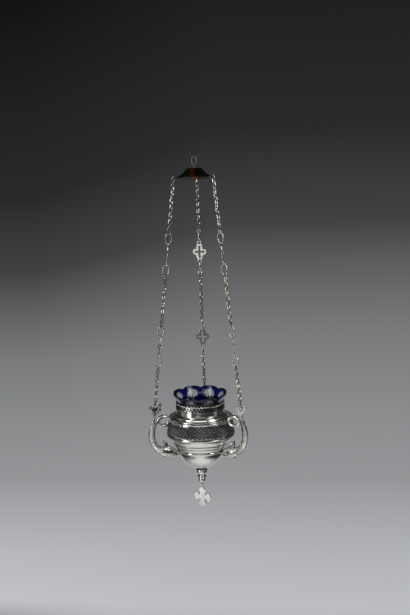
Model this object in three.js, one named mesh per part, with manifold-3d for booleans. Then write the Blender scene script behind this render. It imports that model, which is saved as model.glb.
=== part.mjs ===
// A hanging oil lamp of silver-plated brass, in millimetres, +Z up.
// The origin is the point inside the top ring that a hook bears on, and everything hangs below it:
// ring, canopy, three chains with pierced cross plaques, and the lamp body with its blue glass,
// three dolphin handles, a turned finial and a pendant cross.
import * as THREE from 'three';
import { mergeVertices } from 'three/addons/utils/BufferGeometryUtils.js';
import Module from 'manifold-3d';

const wasm = await Module();
wasm.setup();

// Clearances
const seatGap = 0.3;
const threadGap = 0.15;

// Hanging ring and the hook stem that carries the canopy
const ringHeight = 15;
const ringWidth = 8;
const ringWire = 1.7;
const stemWire = 1.5;
const shankRadius = 1.4;
const collarRadius = 3.2;
const collarHeight = 0.8;
const stemNutWidth = 7.5;
const stemNutHeight = 3;
const shankBelowNut = 1.2;

// Canopy
const canopyTopRadius = 11.6;
const canopyRimRadius = 26.5;
const canopyHeight = 13.8;
const canopyWall = 1.1;
const rimLipHeight = 1.0;

// Canopy ears, which the chains hook over
const chainTopRadius = 32;
const earThickness = 1.0;
const earBarWidth = 1.3;
const earHoleRadius = 1.25;
const earRootWidth = 7;

// Small chain links
const linkWire = 1.1;
const linkWidth = 4.7;
const linkInnerLength = 4.95;
const endLinkCrownWidth = 2.1;
const upperRunLinks = 16;
const middleRunLinks = 15;
const lowerRunLinks = 11;

// Large oval rings on each side of a plaque
const chainRingWire = 1.5;
const chainRingWidth = 10.5;
const chainRingHeight = 16.5;

// Pierced cross plaques
const plaqueWidth = 20.5;
const plaqueBodyHeight = 25.6;
const plaqueHeight = 33.5;
const plaqueThickness = 1.3;
const plaqueArmWidth = 8.8;
const plaqueSlotWidth = 3.4;
const plaqueSlotHeight = 18.6;
const plaqueSlotSpan = 14.4;
const plaqueCornerBump = 1.5;
const eyeletRadius = 3.1;
const eyeletHoleRadius = 1.8;

// How far each plaque is turned about its chain as the lamp hangs, upper then lower, in degrees
const plaqueTurns = { back: [0, 0], left: [-22, -10], right: [26, 35] };

// Lamp body
const chainBottomRadius = 70;
const neckTopBelowSeat = 2.3;
const neckRadius = 35.3;
const neckHeight = 17;
const bodyWall = 1.2;
const shoulderRadius = 46.4;
const shoulderHeight = 6;
const bellyRadius = 49.2;
const bellyHeight = 23;
const bowlHeight = 55;
const collarBandHeight = 24.2;
const bowlRidgeRadius = 35.8;
const bowlNeckRadius = 33;
const bowlFootRadius = 5.5;

// Pierced work round the neck and the belly
const neckPoints = 27;
const neckPointHeight = 3.4;
const neckDiamondHeight = 4.2;
const bellyDiamonds = 18;
const bellyDiamondRows = 3;
const bellyTopMargin = 4;
const bellyBaseMargin = 1.5;
const pierceStrap = 1.5;

// Oil glass
const glassWall = 2.4;
const glassRimRadius = 38.5;
const glassRimAboveNeck = 13;
const glassNotchDepth = 3.8;
const glassNotchInset = 1.3;
const glassPetals = 8;
const glassDepth = 78;
const glassFootRadius = 17;

// Dolphin handles
const scrollReach = 9.7;
const scrollRise = 8.2;
const scrollWire = 1.3;
const bowBeyondChain = 6.3;
const handleWidth = 14.8;
const handleThickness = 10.8;
const earFinHeight = 22.5;
const earFinWidth = 8;
const chinSpikeLength = 4.6;
const flukeReach = 9.6;
const flukeThickness = 1.4;
const flukeHoleRadius = 1.5;
const flukeBar = 1.5;
const rivetRadius = 0.8;
const screwRadius = 1.2;

// Finial and pendant cross
const knobRadius = 8.4;
const knobHeight = 12.6;
const ballRadius = 5.4;
const ballHeight = 7;
const boltRadius = 1.3;
const boltEyeWire = 1.0;
const boltEyeHole = 1.0;
const finialNutWidth = 6.5;
const finialNutHeight = 2.5;
const pendantLoopWire = 0.9;
const pendantLoopHole = 3.4;
const crossWidth = 28.6;
const crossHeight = 29.4;
const crossThickness = 1.8;
const crossEyeletHole = 0.9;
const pendantTurn = -23;

// Facets
const roundSteps = 24;
const canopySteps = 18;
const finialSteps = 15;
const curveSteps = 2;

// Colours
const silver = new THREE.MeshStandardMaterial({ color: 0xc8c8c3, roughness: 0.22, metalness: 1 });
const darkSilver = new THREE.MeshStandardMaterial({ color: 0x6d6b66, roughness: 0.4, metalness: 1 });
const wornBrass = new THREE.MeshStandardMaterial({ color: 0xa78f63, roughness: 0.35, metalness: 1 });
const canopyBronze = new THREE.MeshStandardMaterial({ color: 0x3d332c, roughness: 0.35, metalness: 1 });
const cobaltGlass = new THREE.MeshStandardMaterial({ color: 0x141f78, roughness: 0.08, metalness: 0 });

const fullTurn = 2 * Math.PI;
const chainAngles = { back: 90, left: 210, right: 330 };

// Solids from three.js geometry

function signedVolume(position, corners) {
  const a = new THREE.Vector3();
  const b = new THREE.Vector3();
  const c = new THREE.Vector3();
  let volume = 0;
  for (let i = 0; i < corners.length; i += 3) {
    a.fromBufferAttribute(position, corners[i]);
    b.fromBufferAttribute(position, corners[i + 1]);
    c.fromBufferAttribute(position, corners[i + 2]);
    volume += a.dot(b.cross(c)) / 6;
  }
  return volume;
}

function toSolid(geometry) {
  const bare = geometry.clone();
  bare.deleteAttribute('normal');
  bare.deleteAttribute('uv');
  const merged = mergeVertices(bare);
  const corners = [];
  for (let i = 0; i < merged.index.count; i += 3) {
    const [a, b, c] = [0, 1, 2].map((k) => merged.index.getX(i + k));
    if (a !== b && b !== c && c !== a) {
      corners.push(a, b, c);
    }
  }
  if (signedVolume(merged.attributes.position, corners) < 0) {
    corners.reverse();
  }
  const mesh = new wasm.Mesh({
    numProp: 3,
    vertProperties: Float32Array.from(merged.attributes.position.array),
    triVerts: Uint32Array.from(corners),
  });
  return new wasm.Manifold(mesh);
}

function toGeometry(solid) {
  const mesh = solid.getMesh();
  const geometry = new THREE.BufferGeometry();
  geometry.setAttribute('position', new THREE.BufferAttribute(mesh.vertProperties, 3));
  geometry.setIndex(new THREE.BufferAttribute(mesh.triVerts, 1));
  geometry.computeVertexNormals();
  return geometry;
}

function join(solids) {
  return solids.reduce((whole, solid) => whole.add(solid));
}

function addPiece(parent, name, solid, material) {
  const mesh = new THREE.Mesh(toGeometry(solid), material);
  mesh.name = name;
  parent.add(mesh);
}

// A closed outline of [radius, height] pairs turned about Z.
function turned(outline, steps = roundSteps) {
  const geometry = new THREE.LatheGeometry([...outline, outline[0]], steps);
  geometry.rotateX(Math.PI / 2);
  return toSolid(geometry);
}

function disc(radius, bottomZ, topZ, sides, holeRadius = 0) {
  const outline = [new THREE.Vector2(radius, bottomZ), new THREE.Vector2(radius, topZ)];
  outline.push(new THREE.Vector2(holeRadius, topZ), new THREE.Vector2(holeRadius, bottomZ));
  return turned(outline, sides);
}

// A round bar along the radius of the lamp, at the height z and in the plane y = 0.
function radialBar(radius, fromR, toR, z, sides = 6) {
  const geometry = new THREE.CylinderGeometry(radius, radius, toR - fromR, sides);
  geometry.rotateZ(Math.PI / 2);
  geometry.translate((fromR + toR) / 2, 0, z);
  return toSolid(geometry);
}

function arc(centreX, centreY, radius, fromDegrees, toDegrees, steps) {
  const points = [];
  for (let i = 0; i <= steps; i++) {
    const angle = THREE.MathUtils.degToRad(fromDegrees + ((toDegrees - fromDegrees) * i) / steps);
    points.push(new THREE.Vector2(centreX + radius * Math.cos(angle), centreY + radius * Math.sin(angle)));
  }
  return points;
}

// A regular polygon with a flat side at its top, whose flats lie at the given radius.
function flatTopHole(centreX, centreY, radius, sides) {
  const step = 360 / sides;
  const cornerRadius = radius / Math.cos(Math.PI / sides);
  return new THREE.Path(arc(centreX, centreY, cornerRadius, 90 - step / 2, 450 - step * 1.5, sides - 1));
}

// A flat plate drawn in the XZ plane, with its thickness centred on y = 0.
function plate(outline, thickness, holes = []) {
  const shape = new THREE.Shape(outline);
  shape.holes.push(...holes);
  const geometry = new THREE.ExtrudeGeometry(shape, { depth: thickness, bevelEnabled: false });
  geometry.translate(0, 0, -thickness / 2);
  geometry.rotateX(Math.PI / 2);
  return toSolid(geometry);
}

// Joins equal rings of points into a closed skin, with a flat cap at each end.
function loft(rings) {
  const sides = rings[0].length;
  const points = rings.flat();
  const corners = [];
  for (let i = 0; i + 1 < rings.length; i++) {
    for (let k = 0; k < sides; k++) {
      const next = (k + 1) % sides;
      const [a, b] = [i * sides + k, i * sides + next];
      corners.push(a, b, a + sides, b, b + sides, a + sides);
    }
  }
  const last = (rings.length - 1) * sides;
  for (let k = 1; k + 1 < sides; k++) {
    corners.push(0, k + 1, k, last, last + k, last + k + 1);
  }
  const geometry = new THREE.BufferGeometry().setFromPoints(points);
  geometry.setIndex(corners);
  return toSolid(geometry);
}

// Joins rings of points that close on themselves both ways, as round a wire loop.
function closedSkin(rings) {
  const sides = rings[0].length;
  const corners = [];
  for (let i = 0; i < rings.length; i++) {
    const here = i * sides;
    const there = ((i + 1) % rings.length) * sides;
    for (let k = 0; k < sides; k++) {
      const next = (k + 1) % sides;
      corners.push(here + k, here + next, there + k, here + next, there + next, there + k);
    }
  }
  const geometry = new THREE.BufferGeometry().setFromPoints(rings.flat());
  geometry.setIndex(corners);
  return toSolid(geometry);
}

// Wire loops, drawn in the XZ plane round an opening from innerTop down to innerBottom

// Wire that is flat inside, where the pieces bear on each other, and has a ridge outside.
const ridgedWire = [[0, -0.5], [1, 0], [0, 0.5]];

function roundWire(sides) {
  const section = [];
  for (let k = 0; k < sides; k++) {
    const angle = Math.PI + (k * fullTurn) / sides;
    section.push([0.5 + Math.cos(angle) / 2, Math.sin(angle) / 2]);
  }
  return section;
}

function crownedHexagon(topShare, baseShare) {
  return [[-topShare, 1], [topShare, 1], [1, 0], [baseShare, -1], [-baseShare, -1], [-1, 0]];
}

function ovalCorners(sides) {
  const corners = [];
  const reach = Math.cos(Math.PI / sides);
  for (let k = 0; k < sides; k++) {
    const angle = ((k + 0.5) * fullTurn) / sides;
    corners.push([Math.sin(angle) / reach, Math.cos(angle) / reach]);
  }
  return corners;
}

function wireLoop({ innerTop, innerBottom, innerWidth, wire, corners, section }) {
  const rings = section.map(([outward, side]) => corners.map(([x, up]) => {
    const top = innerTop + outward * wire;
    const bottom = innerBottom - outward * wire;
    const height = (top * (1 + up) + bottom * (1 - up)) / 2;
    return new THREE.Vector3(x * (innerWidth / 2 + outward * wire), side * wire, height);
  }));
  return closedSkin(rings);
}

function quarterTurned(solid) {
  return solid.transform([0, 1, 0, 0, -1, 0, 0, 0, 0, 0, 1, 0, 0, 0, 0, 1]);
}

// Hanging ring and stem

const ringBarZ = -(ringHeight - 2 * ringWire) - ringWire / 2;
const stemEyeTop = ringBarZ + ringWire / 2 + seatGap;
const stemEyeBottom = ringBarZ - ringWire / 2 - seatGap;
const collarTopZ = stemEyeBottom - stemWire + 0.2;
const canopyTopZ = collarTopZ - collarHeight - seatGap;
const canopyRimZ = canopyTopZ - canopyHeight;
const stemNutTopZ = canopyTopZ - canopyWall - seatGap;
const stemNutBottomZ = stemNutTopZ - stemNutHeight;

function hangingRing() {
  return wireLoop({
    innerTop: 0,
    innerBottom: ringBarZ + ringWire / 2,
    innerWidth: ringWidth - 2 * ringWire,
    wire: ringWire,
    corners: ovalCorners(12),
    section: roundWire(6),
  });
}

function hookStem() {
  const eye = quarterTurned(wireLoop({
    innerTop: stemEyeTop,
    innerBottom: stemEyeBottom,
    innerWidth: stemEyeTop - stemEyeBottom,
    wire: stemWire,
    corners: ovalCorners(10),
    section: roundWire(5),
  }));
  const collar = disc(collarRadius, collarTopZ - collarHeight, collarTopZ, 12);
  const shank = disc(shankRadius, stemNutBottomZ - shankBelowNut, stemEyeBottom - stemWire / 2, 8);
  return join([eye, collar, shank]);
}

function nut(width, topZ, height, boreRadius) {
  const outline = arc(0, 0, width / Math.sqrt(3), 0, 300, 5);
  const bore = new THREE.Path(arc(0, 0, boreRadius, 0, 315, 7));
  const shape = new THREE.Shape(outline);
  shape.holes.push(bore);
  const geometry = new THREE.ExtrudeGeometry(shape, { depth: height, bevelEnabled: false });
  geometry.translate(0, 0, topZ - height);
  return toSolid(geometry);
}

// Canopy

const earHoleCentre = chainTopRadius - earBarWidth / 2 - earHoleRadius;
const earTipRadius = chainTopRadius + earBarWidth / 2;

function canopyEar() {
  const rootR = canopyRimRadius - canopyWall;
  const holeSide = earHoleRadius + earBarWidth;
  const half = [[rootR, earRootWidth / 2], [earHoleCentre, holeSide], [earTipRadius - 0.8, holeSide - 0.6]];
  half.push([earTipRadius, earHoleRadius * 0.7]);
  const upper = half.map(([x, y]) => new THREE.Vector2(x, y)).reverse();
  const lower = half.map(([x, y]) => new THREE.Vector2(x, -y));
  const shape = new THREE.Shape([...lower, ...upper]);
  shape.holes.push(flatTopHole(earHoleCentre, 0, earHoleRadius, 8));
  const geometry = new THREE.ExtrudeGeometry(shape, { depth: earThickness, bevelEnabled: false });
  geometry.translate(0, 0, canopyRimZ);
  return toSolid(geometry);
}

function canopy() {
  const bore = shankRadius + seatGap;
  const rimTopZ = canopyRimZ + rimLipHeight;
  const cornerZ = canopyTopZ - canopyHeight * 0.16;
  const waistZ = canopyTopZ - canopyHeight * 0.65;
  const crownRadius = canopyTopRadius * 0.78;
  const waistRadius = canopyTopRadius + (canopyRimRadius - canopyTopRadius) * 0.27;
  const outside = new THREE.Path()
    .moveTo(bore, canopyTopZ)
    .lineTo(crownRadius, canopyTopZ)
    .quadraticCurveTo(canopyTopRadius, canopyTopZ, canopyTopRadius * 1.07, cornerZ)
    .quadraticCurveTo(waistRadius, waistZ, canopyRimRadius - canopyWall * 0.5, rimTopZ)
    .lineTo(canopyRimRadius, canopyRimZ);
  const inside = new THREE.Path()
    .moveTo(bore, canopyTopZ - canopyWall)
    .lineTo(crownRadius, canopyTopZ - canopyWall)
    .lineTo(canopyTopRadius * 0.96, cornerZ - canopyWall * 0.25)
    .quadraticCurveTo(waistRadius - canopyWall, waistZ - canopyWall * 0.6, canopyRimRadius - canopyWall * 2,
      canopyRimZ + canopyWall * 0.5)
    .lineTo(canopyRimRadius - canopyWall, canopyRimZ);
  const outline = [...outside.getPoints(curveSteps), ...inside.getPoints(curveSteps).reverse()];
  const ear = canopyEar();
  const ears = Object.values(chainAngles).map((angle) => ear.rotate([0, 0, angle]));
  return join([turned(outline, canopySteps), ...ears]);
}

// Chains: each is drawn hanging straight down from its seat on the canopy ear at the chain's own origin

const earSeatZ = canopyRimZ + earThickness;
const linkInnerWidth = linkWidth - 2 * linkWire;
const ringInnerHeight = chainRingHeight - 2 * chainRingWire;
const eyeletBar = eyeletRadius - eyeletHoleRadius;
const plaqueInnerHeight = plaqueHeight - 2 * eyeletBar;

// Heights of the inner top of every piece, worked out from seat to seat.
function chainStations() {
  const stations = {};
  let height = seatGap;
  const lower = (name, drop) => {
    stations[name] = height;
    height += seatGap - drop;
  };
  lower('upper_run', upperRunLinks * linkInnerLength);
  lower('ring_1', ringInnerHeight);
  lower('plaque_1', plaqueInnerHeight);
  lower('ring_2', ringInnerHeight);
  lower('middle_run', middleRunLinks * linkInnerLength);
  lower('ring_3', ringInnerHeight);
  lower('plaque_2', plaqueInnerHeight);
  lower('ring_4', ringInnerHeight);
  lower('lower_run', lowerRunLinks * linkInnerLength);
  stations.end = height;
  return stations;
}

// Links bear on each other face to face, every other one turned by a quarter. The first and last
// are wider where they sit on an ear, a ring or a handle.
function chainRun(innerTop, count, firstIsRadial) {
  const links = [];
  const crown = linkWire / linkInnerWidth;
  const endCrown = endLinkCrownWidth / linkInnerWidth;
  for (let i = 0; i < count; i++) {
    const link = wireLoop({
      innerTop: innerTop - i * linkInnerLength,
      innerBottom: innerTop - (i + 1) * linkInnerLength,
      innerWidth: linkInnerWidth,
      wire: linkWire,
      corners: crownedHexagon(i === 0 ? endCrown : crown, i === count - 1 ? endCrown : crown),
      section: ridgedWire,
    });
    const radial = (i % 2 === 0) === firstIsRadial;
    links.push(radial ? link : quarterTurned(link));
  }
  return join(links);
}

function chainRing(innerTop) {
  return wireLoop({
    innerTop,
    innerBottom: innerTop - ringInnerHeight,
    innerWidth: chainRingWidth - 2 * chainRingWire,
    wire: chainRingWire,
    corners: ovalCorners(8),
    section: ridgedWire,
  });
}

// A cross with round arm ends, a small bump in each inner corner and an eyelet above and below.
function plaqueOutline() {
  const armHalf = plaqueArmWidth / 2;
  const sideEnd = plaqueWidth / 2 - armHalf;
  const topEnd = plaqueBodyHeight / 2 - armHalf;
  const eyeletCentre = plaqueHeight / 2 - eyeletRadius;
  const apart = eyeletCentre - topEnd;
  const meetingUp = (apart ** 2 + armHalf ** 2 - eyeletRadius ** 2) / (2 * apart);
  const armAngle = THREE.MathUtils.radToDeg(Math.asin(meetingUp / armHalf));
  const eyeletAngle = THREE.MathUtils.radToDeg(Math.asin((meetingUp - apart) / eyeletRadius));
  const corner = armHalf + plaqueCornerBump * 0.6;
  const quarter = [
    ...arc(sideEnd, 0, armHalf, 0, 90, 2),
    new THREE.Vector2(corner, corner),
    ...arc(0, topEnd, armHalf, 0, armAngle, 2),
    ...arc(0, eyeletCentre, eyeletRadius, eyeletAngle, 90, 2).slice(1),
  ];
  const flipX = quarter.map((p) => new THREE.Vector2(-p.x, p.y)).reverse().slice(1);
  const upper = [...quarter, ...flipX];
  const lower = upper.map((p) => new THREE.Vector2(-p.x, -p.y)).slice(1, -1);
  return [...upper, ...lower];
}

function plaqueOpening() {
  const slot = plaqueSlotWidth / 2;
  const tall = plaqueSlotHeight / 2;
  const wide = plaqueSlotSpan / 2;
  const corners = [[wide, slot], [slot, slot], [slot, tall], [-slot, tall], [-slot, slot], [-wide, slot]];
  corners.push(...corners.map(([x, y]) => [-x, -y]));
  return new THREE.Path(corners.map(([x, y]) => new THREE.Vector2(x, y)));
}

function crossPlaque(innerTop, turn) {
  const eyeletCentre = plaqueHeight / 2 - eyeletRadius;
  const holes = [plaqueOpening()];
  for (const side of [1, -1]) {
    holes.push(flatTopHole(0, side * eyeletCentre, eyeletHoleRadius, 6));
  }
  const flat = plate(plaqueOutline(), plaqueThickness, holes);
  return flat.rotate([0, 0, 90 + turn]).translate([0, 0, innerTop - plaqueInnerHeight / 2]);
}

function addChain(parent, side, stations) {
  const chain = new THREE.Group();
  const name = (piece) => `chain_${side}_${piece}`;
  const [upperTurn, lowerTurn] = plaqueTurns[side];
  const add = (piece, solid, material) => addPiece(chain, name(piece), solid, material);
  add('upper_run', chainRun(stations.upper_run, upperRunLinks, true), wornBrass);
  add('ring_1', chainRing(stations.ring_1), silver);
  add('plaque_1', crossPlaque(stations.plaque_1, upperTurn), silver);
  add('ring_2', chainRing(stations.ring_2), silver);
  add('middle_run', chainRun(stations.middle_run, middleRunLinks, false), wornBrass);
  add('ring_3', chainRing(stations.ring_3), silver);
  add('plaque_2', crossPlaque(stations.plaque_2, lowerTurn), silver);
  add('ring_4', chainRing(stations.ring_4), silver);
  add('lower_run', chainRun(stations.lower_run, lowerRunLinks, false), wornBrass);
  const lean = Math.asin((chainBottomRadius - chainTopRadius) / -stations.end);
  const angle = THREE.MathUtils.degToRad(chainAngles[side]);
  chain.position.set(chainTopRadius * Math.cos(angle), chainTopRadius * Math.sin(angle), earSeatZ);
  chain.rotation.set(0, -lean, angle, 'ZYX');
  parent.add(chain);
}

const stations = chainStations();
const chainDrop = Math.sqrt(stations.end ** 2 - (chainBottomRadius - chainTopRadius) ** 2);
const lampSeatZ = earSeatZ - chainDrop;

// Lamp body heights, from the neck down

const neckTopZ = lampSeatZ - neckTopBelowSeat;
const neckBaseZ = neckTopZ - neckHeight;
const shoulderTopZ = neckBaseZ - seatGap;
const shoulderBaseZ = shoulderTopZ - shoulderHeight;
const bellyTopZ = shoulderBaseZ - seatGap;
const bellyBaseZ = bellyTopZ - bellyHeight;
const bowlTopZ = bellyBaseZ - seatGap;
const bowlRidgeZ = bowlTopZ - collarBandHeight;
const bowlNeckZ = bowlRidgeZ - 1.4;
const bowlFootZ = bowlTopZ - bowlHeight;

// A wall turned about Z and pierced by rows of diamonds, each row half a step round from the last.
// topAt gives the height of the upper edge over a diamond (true) or between two (false).
function piercedWall({ count, rows, upperZ, lowerZ, baseZ, strap, radiusAt, topAt, wall }) {
  const pitch = fullTurn / count;
  const rowStep = rows > 1 ? (upperZ - lowerZ) / (rows - 1) : 0;
  const halfHeight = rows > 1 ? rowStep - strap / 2 : neckDiamondHeight / 2;
  const halfAngle = pitch / 2 - strap / 2 / radiusAt(upperZ);
  const points = [];
  const corners = [];
  const point = (angle, z) => {
    for (const radius of [radiusAt(z), radiusAt(z) - wall]) {
      points.push(new THREE.Vector3(radius * Math.cos(angle), radius * Math.sin(angle), z));
    }
    return points.length - 2;
  };
  const face = (...outer) => {
    for (let k = 1; k + 1 < outer.length; k++) {
      corners.push(outer[0], outer[k], outer[k + 1]);
      corners.push(outer[0] + 1, outer[k + 1] + 1, outer[k] + 1);
    }
  };
  const edge = (a, b) => corners.push(b, a, a + 1, b, a + 1, b + 1);
  const holes = [];
  for (let j = 0; j < rows; j++) {
    const z = upperZ - j * rowStep;
    holes.push(Array.from({ length: count }, (_, i) => {
      const angle = (i + (j % 2) / 2) * pitch;
      const hole = { left: point(angle - halfAngle, z), right: point(angle + halfAngle, z) };
      hole.top = point(angle, z + halfHeight);
      hole.bottom = point(angle, z - halfHeight);
      edge(hole.left, hole.top);
      edge(hole.top, hole.right);
      edge(hole.right, hole.bottom);
      edge(hole.bottom, hole.left);
      return hole;
    }));
  }
  const rim = (row, zAt) => Array.from({ length: 2 * count }, (_, i) => {
    return point(((i + (row % 2)) / 2) * pitch, zAt(i % 2 === 0));
  });
  const topRim = rim(0, topAt);
  const baseRim = rim(rows - 1, () => baseZ);
  const around = (list, i) => list[((i % list.length) + list.length) % list.length];
  for (let i = 0; i < count; i++) {
    const first = holes[0][i];
    const second = around(holes[0], i + 1);
    const [over, between, next] = [2 * i, 2 * i + 1, 2 * i + 2].map((k) => around(topRim, k));
    face(over, first.top, first.right, between);
    face(between, second.left, second.top, next);
    edge(between, over);
    edge(next, between);
    const last = holes[rows - 1][i];
    const lastNext = around(holes[rows - 1], i + 1);
    const [under, gap, after] = [2 * i, 2 * i + 1, 2 * i + 2].map((k) => around(baseRim, k));
    face(under, gap, last.right, last.bottom);
    face(gap, after, lastNext.bottom, lastNext.left);
    edge(under, gap);
    edge(gap, after);
    for (let j = 0; j < rows; j++) {
      const here = holes[j][i];
      const beside = around(holes[j], i + 1);
      const shift = j % 2;
      const above = j > 0 ? around(holes[j - 1], i + shift).bottom : between;
      const below = j + 1 < rows ? around(holes[j + 1], i + shift).top : gap;
      face(here.right, below, beside.left, above);
      if (j + 1 < rows) {
        const down = around(holes[j + 1], i + shift);
        const downBack = around(holes[j + 1], i + shift - 1);
        face(here.right, here.bottom, down.left, down.top);
        face(here.left, downBack.top, downBack.right, here.bottom);
      }
    }
  }
  const geometry = new THREE.BufferGeometry().setFromPoints(points);
  geometry.setIndex(corners);
  return toSolid(geometry);
}

function neckGallery() {
  const diamondZ = neckTopZ - neckPointHeight - neckDiamondHeight / 2;
  return piercedWall({
    count: neckPoints,
    rows: 1,
    upperZ: diamondZ,
    lowerZ: diamondZ,
    baseZ: neckBaseZ,
    strap: pierceStrap,
    radiusAt: () => neckRadius,
    topAt: (overDiamond) => (overDiamond ? neckTopZ : neckTopZ - neckPointHeight),
    wall: bodyWall,
  });
}

function bellyBand() {
  const rowsHeight = bellyHeight - bellyTopMargin - bellyBaseMargin;
  const halfDiamond = rowsHeight / (bellyDiamondRows + 1);
  const radiusAt = (z) => {
    const share = (bellyTopZ - z) / bellyHeight;
    return shoulderRadius + (bellyRadius - shoulderRadius) * share;
  };
  return piercedWall({
    count: bellyDiamonds,
    rows: bellyDiamondRows,
    upperZ: bellyTopZ - bellyTopMargin - halfDiamond,
    lowerZ: bellyBaseZ + bellyBaseMargin + halfDiamond,
    baseZ: bellyBaseZ,
    strap: pierceStrap,
    radiusAt,
    topAt: () => bellyTopZ,
    wall: bodyWall,
  });
}

// The shoulder runs out from the neck with a rounded bead, a hollow and a rounded edge.
function shoulder() {
  const spread = shoulderRadius - neckRadius;
  const at = (share, drop) => [neckRadius + spread * share, shoulderTopZ - shoulderHeight * drop];
  const outside = new THREE.Path()
    .moveTo(...at(0, 0))
    .quadraticCurveTo(...at(0.38, 0), ...at(0.34, 0.42))
    .quadraticCurveTo(...at(0.42, 0.8), ...at(0.78, 0.82))
    .quadraticCurveTo(...at(1, 0.82), ...at(1, 1));
  const inner = (share, drop) => {
    const [r, z] = at(share, drop);
    return new THREE.Vector2(r - bodyWall, z);
  };
  const inside = [inner(0, 0), inner(0.12, 0.42), inner(0.3, 0.8), inner(0.55, 1)];
  return turned([...outside.getPoints(curveSteps), ...inside.reverse()]);
}

// Three rounded steps narrow the bowl from the belly to a beaded ridge, over a round bottom.
function bowlOutside() {
  const rimZ = bowlTopZ - 3;
  const stepHeight = (rimZ - bowlRidgeZ - 1.4) / 3;
  const stepIn = (bellyRadius - 0.8 - bowlRidgeRadius + 1) / 3;
  const outside = new THREE.Path()
    .moveTo(bellyRadius, bowlTopZ)
    .quadraticCurveTo(bellyRadius + 1.6, (bowlTopZ + rimZ) / 2, bellyRadius - 0.8, rimZ);
  for (let i = 0; i < 3; i++) {
    const r = bellyRadius - 0.8 - stepIn * i;
    const z = rimZ - stepHeight * i;
    outside.quadraticCurveTo(r - 0.3, z - stepHeight * 0.7, r - stepIn + 0.6, z - stepHeight);
    outside.lineTo(r - stepIn, z - stepHeight);
  }
  outside.quadraticCurveTo(bowlRidgeRadius + 1, bowlRidgeZ, bowlNeckRadius + 0.6, bowlNeckZ);
  outside.lineTo(bowlNeckRadius, bowlNeckZ);
  return [...outside.getPoints(curveSteps), ...roundBottom(0)];
}

// The round bottom of the bowl, or its inside when the wall is taken off.
function roundBottom(wall) {
  const startZ = bowlNeckZ - 2.8;
  const bottom = new THREE.Path()
    .moveTo(bowlNeckRadius - wall, startZ)
    .bezierCurveTo(
      bowlNeckRadius - wall, startZ - (startZ - bowlFootZ) * 0.55,
      bowlNeckRadius * 0.6 - wall * 0.6, bowlFootZ + 1.2 + wall,
      bowlFootRadius, bowlFootZ + wall,
    );
  return bottom.getPoints(4);
}

function bowlInside() {
  const upper = [[bellyRadius - bodyWall, bowlTopZ], [bellyRadius - bodyWall - 0.9, bowlTopZ - 3.6]];
  upper.push([bowlRidgeRadius - bodyWall - 0.6, bowlRidgeZ + 1.6]);
  return [...upper.map(([r, z]) => new THREE.Vector2(r, z)), ...roundBottom(bodyWall)];
}

function lowerBowl() {
  const bore = boltRadius + seatGap;
  const foot = [new THREE.Vector2(bore, bowlFootZ), new THREE.Vector2(bore, bowlFootZ + bodyWall)];
  const shell = turned([...bowlOutside(), ...foot, ...bowlInside().reverse()]);
  return cutForFixings(shell, screwRadius, screwZ, bowlNeckRadius);
}

// Glass with eight rounded petals, flared over the neck and drawn in towards its foot.
const glassRimZ = neckTopZ + glassRimAboveNeck;
const glassFootZ = glassRimZ - glassDepth;
const glassSteps = glassPetals * 4;

// 1 over the middle of a petal and 0 in the notch between two, one of which is at the back.
function petalShare(angle) {
  const across = ((angle * glassPetals) / fullTurn) % 1;
  return Math.sqrt(Math.max(0, 1 - (2 * Math.abs(across - 0.5)) ** 2.2));
}

function glassRing(radius, z, petalWeight) {
  return Array.from({ length: glassSteps }, (_, k) => {
    const fromBack = (k / glassSteps) * fullTurn;
    const dip = petalWeight * (1 - petalShare(fromBack));
    const r = radius - glassNotchInset * dip;
    return new THREE.Vector3(-r * Math.sin(fromBack), r * Math.cos(fromBack), z - glassNotchDepth * dip);
  });
}

function oilGlass() {
  const throat = neckRadius - bodyWall - seatGap;
  const lipZ = neckTopZ + seatGap;
  const outside = [
    glassRing(glassFootRadius - 3, glassFootZ, 0),
    glassRing(glassFootRadius, glassFootZ + 1.5, 0),
    glassRing(throat * 0.84, glassFootZ + glassDepth * 0.34, 0),
    glassRing(throat - 1.2, glassFootZ + glassDepth * 0.66, 0),
    glassRing(throat, lipZ, 0),
    glassRing(glassRimRadius - 1.4, (lipZ + glassRimZ) / 2 + 1, 0.45),
    glassRing(glassRimRadius, glassRimZ - 1, 1),
    glassRing(glassRimRadius - glassWall / 2, glassRimZ, 1),
  ];
  const inside = [
    glassRing(glassRimRadius - glassWall, glassRimZ - 1, 1),
    glassRing(throat - glassWall + 0.4, lipZ + 1, 0.2),
    glassRing(throat - glassWall - 1.4, glassFootZ + glassDepth * 0.66, 0),
    glassRing(throat * 0.84 - glassWall, glassFootZ + glassDepth * 0.34, 0),
    glassRing(glassFootRadius - glassWall, glassFootZ + 1.5 + glassWall, 0),
    glassRing(glassFootRadius - glassWall - 3, glassFootZ + glassWall, 0),
  ];
  return loft([...outside, ...inside]);
}

// Handles, drawn in the plane y = 0 with the lamp's axis at x = 0

const scrollZ = bellyTopZ + 0.6;
const scrollR = shoulderRadius + 0.9 + scrollReach;
const rivetZ = bellyTopZ - 1.6;
const bossEndR = shoulderRadius + 5.1;
const mouthZ = bowlRidgeZ - 2.2;
const screwZ = bowlRidgeZ - 2.9;
const snoutR = bowlRidgeRadius + 1;
const handleReach = chainBottomRadius + bowBeyondChain - snoutR;
const handleRise = scrollZ - mouthZ;
const headShare = 0.43;

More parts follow.
